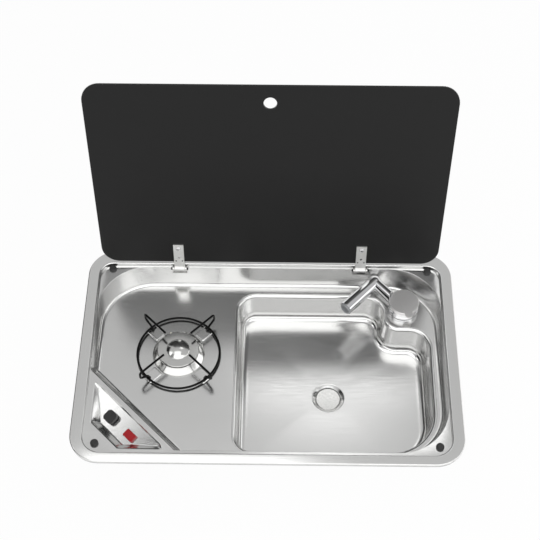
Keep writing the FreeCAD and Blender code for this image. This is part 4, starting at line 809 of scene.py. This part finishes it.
def build_burner(steel):
    """Burner cap with its low dome, part of a ball whose radius follows from the dome's own radius and rise,
    and the cone around the burner, both turned."""
    ball = (DOME_RADIUS ** 2 + DOME_RISE ** 2) / (2 * DOME_RISE)
    radius = np.linspace(DOME_RADIUS, 0, DOME_STEPS)
    dome = np.column_stack((radius, CAP_TOP + DOME_RISE - ball + np.sqrt(ball ** 2 - radius ** 2)))
    cap = turned(np.vstack((softened(CAP, CAP_SOFT), dome)), BURNER)
    piece("cap_domed", [cap], steel, UNIT, ["burner_cap"])
    cone = softened(CONE, CONE_SOFT)
    cone = turned(np.vstack((cone, cone[:1])), BURNER)
    piece("burner_cone", [cone], steel, UNIT, ["burner_skirt"])


def on_open_lid(profile, middle, steps):
    """Profile turned about an upright line on the shut lid's leaf, then swung about the hinge axis to where
    the lid stands open."""
    points, faces = turned(profile + (0, LEAF_FACE), middle, steps)
    c = math.cos(LID_OPEN)
    s = math.sin(LID_OPEN)
    swing = np.array(((1, 0, 0), (0, c, s), (0, -s, c)))
    return (points - HINGE_AXIS) @ swing.T + HINGE_AXIS, faces


def build_leaf_fixings(bright, dark):
    """Low screw heads near the ends of the leaves, and the pairs of small dark rivets below the glass."""
    screw = softened(SCREW, SCREW_SOFT)
    rivet = softened(RIVET, RIVET_SOFT)
    screws = []
    rivets = []
    for x in (-HINGE_X, HINGE_X):
        screws.append(on_open_lid(screw, (x, LID_REAR - SCREW_FROM_REAR), SCREW_STEPS))
        for aside in (-RIVET_ASIDE, RIVET_ASIDE):
            rivets.append(on_open_lid(rivet, (x + aside, LID_REAR - RIVET_FROM_REAR), RIVET_STEPS))
    piece("leaf_screw_heads", screws, bright, LID, [])
    piece("leaf_rivets", rivets, dark, LID, [])


# Studio

def stage_card(name, rows, material):
    """Open grid of points in metres as one object of the stage."""
    points, quads = bands(rows, closed=False)
    mesh = bpy.data.meshes.new(name)
    mesh.from_pydata(points.tolist(), [], quads.tolist())
    mesh.materials.append(material)
    card = placed(name, mesh)
    return card


def studio_floor():
    """Pale level floor below the unit, white to the camera and in the metal but still shaded by the unit."""
    made = bpy.data.materials.new("paper_white_floor")
    tree = bare_tree(made)
    ray = add(tree, "ShaderNodeLightPath")
    paper = add(tree, "ShaderNodeBsdfDiffuse", {"Color": (*linear("e7e7e7"), 1.0)})
    glow = add(tree, "ShaderNodeEmission", {"Color": (*linear("ffffff"), 1.0), "Strength": 1.0})
    mirrored = add(tree, "ShaderNodeMath", {
        0: ray.outputs["Is Glossy Ray"], 1: ray.outputs["Is Transmission Ray"]}, operation="MAXIMUM")
    seen = add(tree, "ShaderNodeMath", {
        0: ray.outputs["Is Camera Ray"], 1: mirrored.outputs["Value"]}, operation="MAXIMUM")
    share = add(tree, "ShaderNodeMath", {
        0: seen.outputs["Value"], 1: STUDIO_GLOW}, operation="MULTIPLY")
    both = add(tree, "ShaderNodeMixShader", {
        0: share.outputs["Value"], 1: paper.outputs["BSDF"], 2: glow.outputs["Emission"]})
    add(tree, "ShaderNodeOutputMaterial", {"Surface": both.outputs["Shader"]})
    reach = np.linspace(-STUDIO_REACH, STUDIO_REACH, STUDIO_GRID)
    x, y = np.meshgrid(reach, reach)
    stage_card("studio_floor", np.stack((x, y, np.full(x.shape, STUDIO_Z)), axis=2), made)


def studio_world():
    """Even pale grey room, the same to the camera as in the metal."""
    world = bpy.data.worlds.new("studio")
    bpy.context.scene.world = world
    tree = bare_tree(world)
    room = add(tree, "ShaderNodeBackground", {"Color": (*linear("ffffff"), 1.0), "Strength": ROOM_LEVEL})
    add(tree, "ShaderNodeOutputWorld", {"Surface": room.outputs["Background"]})


def posed(right, up, back, at):
    """Matrix with these three axes and this place."""
    turn = Matrix(np.column_stack((right, up, back)).tolist()).to_4x4()
    turn.translation = at
    return turn


def softbox(name, at, towards, size, power):
    """Rectangular area lamp at a point, facing another, in metres and watts."""
    data = bpy.data.lights.new(name, "AREA")
    data.shape = "RECTANGLE"
    data.size, data.size_y = size
    data.energy = power
    back = unit(np.array(at, dtype=float) - np.array(towards, dtype=float))
    upright = (0.0, 0.0, 1.0)
    if abs(back[2]) > STEEP:
        upright = (0.0, 1.0, 0.0)
    right = unit(np.cross(upright, back))
    lamp = placed(name, data)
    lamp.matrix_world = posed(right, np.cross(back, right), back, at)


def black_flag(name, middle, along, across, bow):
    """Dark card that the camera does not see and that draws dark lines in the bright metal: a grid from its
    middle by its two half edges, bowed by the square of the share along it."""
    made = bpy.data.materials.new(name)
    tree = bare_tree(made)
    felt = add(tree, "ShaderNodeBsdfDiffuse", {"Color": (*linear("191919"), 1.0)})
    add(tree, "ShaderNodeOutputMaterial", {"Surface": felt.outputs["BSDF"]})
    u, v = np.meshgrid(np.linspace(-1, 1, FLAG_GRID[0]), np.linspace(-1, 1, FLAG_GRID[1]))
    u = u[..., None]
    v = v[..., None]
    facing = unit(np.cross(along, across))
    card = stage_card(name, np.array(middle) + u * along + v * across + bow * u ** 2 * facing, made)
    card.visible_camera = False


def photo_camera():
    """Camera that repeats the photograph's view; the photograph is a crop, so its middle is shifted."""
    data = bpy.data.cameras.new("photo_camera")
    data.sensor_width = SENSOR
    data.lens = FOCAL_PX * SENSOR / IMAGE_SIDE
    data.shift_y = (PRINCIPAL_Y - IMAGE_SIDE / 2) / IMAGE_SIDE
    data.clip_end = FAR_LIMIT
    ahead = np.array((math.sin(YAW) * math.cos(PITCH), math.cos(YAW) * math.cos(PITCH), -math.sin(PITCH)))
    right = np.array((math.cos(YAW), -math.sin(YAW), 0.0))
    up = np.cross(right, ahead)
    rolled_right = math.cos(ROLL) * right + math.sin(ROLL) * up
    rolled_up = math.cos(ROLL) * up - math.sin(ROLL) * right
    eye = placed("photo_camera", data)
    eye.matrix_world = posed(rolled_right, rolled_up, -ahead, tuple(np.array(EYE) * MM))
    bpy.context.scene.camera = eye


# Operators

class BuildOperator:
    """What every build operator shares."""

    bl_options = {"REGISTER", "UNDO"}

    def sizes(self, context):
        """The scene's sizes."""
        return context.scene.hob_sink_sizes

    def finish_of(self, slot):
        """The finish made for a slot."""
        return bpy.data.materials[FINISH_NAMES[slot]]


class HOBSINK_OT_finishes(BuildOperator, bpy.types.Operator):
    """Make every finish and give each carried-over node its own"""

    bl_idname = "hobsink.finishes"
    bl_label = "Finishes"

    def execute(self, context):
        """Fill the material slots of the frame's nodes."""
        made = finishes(context.scene.hob_sink_colours)
        for slot, material in made.items():
            FINISH_NAMES[slot] = material.name
        for part in frame["record"]["subparts"]:
            node = frame["nodes"][part["node"]]
            node.data.materials.clear()
            node.data.materials.append(made[OWN_FINISH.get(part["node"], part["material_slot"])])
        return {"FINISHED"}


class HOBSINK_OT_pressing(BuildOperator, bpy.types.Operator):
    """Build the drawn top"""

    bl_idname = "hobsink.pressing"
    bl_label = "Drawn top"

    def execute(self, context):
        """Build from the scene's sizes."""
        build_pressing(self.sizes(context), self.finish_of("stainless_steel"))
        return {"FINISHED"}


class HOBSINK_OT_bowl(BuildOperator, bpy.types.Operator):
    """Build the drawn bowl"""

    bl_idname = "hobsink.bowl"
    bl_label = "Drawn bowl"

    def execute(self, context):
        """Build from the scene's sizes."""
        build_bowl(self.sizes(context), self.finish_of("stainless_steel"))
        return {"FINISHED"}


class HOBSINK_OT_support(BuildOperator, bpy.types.Operator):
    """Build the pan support"""

    bl_idname = "hobsink.support"
    bl_label = "Pan support"

    def execute(self, context):
        """Build from the scene's sizes."""
        build_support(self.sizes(context), self.finish_of("black_enamel"))
        return {"FINISHED"}


class HOBSINK_OT_burner(BuildOperator, bpy.types.Operator):
    """Build the burner's cap and cone"""

    bl_idname = "hobsink.burner"
    bl_label = "Burner"

    def execute(self, context):
        """Build from the scene's finishes."""
        build_burner(self.finish_of("polished_steel"))
        return {"FINISHED"}


class HOBSINK_OT_fixings(BuildOperator, bpy.types.Operator):
    """Build the fixings of the hinge leaves"""

    bl_idname = "hobsink.fixings"
    bl_label = "Leaf fixings"

    def execute(self, context):
        """Build from the scene's finishes."""
        build_leaf_fixings(self.finish_of("chrome"), self.finish_of("black_enamel"))
        return {"FINISHED"}


class HOBSINK_OT_stage(BuildOperator, bpy.types.Operator):
    """Set the floor, lamps, room and camera"""

    bl_idname = "hobsink.stage"
    bl_label = "Studio"

    def execute(self, context):
        """Build the studio."""
        studio_floor()
        studio_world()
        for row in SOFTBOXES:
            softbox(*row)
        for row in FLAGS:
            black_flag(*row)
        photo_camera()
        context.scene.view_settings.view_transform = "Standard"
        return {"FINISHED"}


class HOBSINK_PT_panel(bpy.types.Panel):
    """Sidebar panel with the sizes, colours and build steps."""

    bl_idname = "HOBSINK_PT_panel"
    bl_label = "Hob and sink"
    bl_space_type = "VIEW_3D"
    bl_region_type = "UI"
    bl_category = "Hob and sink"

    def draw(self, context):
        """List the settings and the operators."""
        layout = self.layout
        for group in (context.scene.hob_sink_sizes, context.scene.hob_sink_colours):
            for key in group.bl_rna.properties.keys():
                if key not in {"rna_type", "name"}:
                    layout.prop(group, key)
        for operator in OPERATORS:
            layout.operator(operator.bl_idname)


OPERATORS = (
    HOBSINK_OT_finishes,
    HOBSINK_OT_pressing,
    HOBSINK_OT_bowl,
    HOBSINK_OT_support,
    HOBSINK_OT_burner,
    HOBSINK_OT_fixings,
    HOBSINK_OT_stage,
)
CLASSES = (HobSinkSizes, HobSinkColours, *OPERATORS, HOBSINK_PT_panel)


def register():
    """Register every class and the scene's two setting groups."""
    for item in CLASSES:
        bpy.utils.register_class(item)
    bpy.types.Scene.hob_sink_sizes = PointerProperty(type=HobSinkSizes)
    bpy.types.Scene.hob_sink_colours = PointerProperty(type=HobSinkColours)


def unregister():
    """Undo register."""
    del bpy.types.Scene.hob_sink_colours
    del bpy.types.Scene.hob_sink_sizes
    for item in reversed(CLASSES):
        bpy.utils.unregister_class(item)


def main():
    """Register, then build everything in order."""
    register()
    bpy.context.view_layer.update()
    bpy.ops.hobsink.finishes()
    bpy.ops.hobsink.pressing()
    bpy.ops.hobsink.bowl()
    bpy.ops.hobsink.support()
    bpy.ops.hobsink.burner()
    bpy.ops.hobsink.fixings()
    bpy.ops.hobsink.stage()


if __name__ == "__main__":
    main()
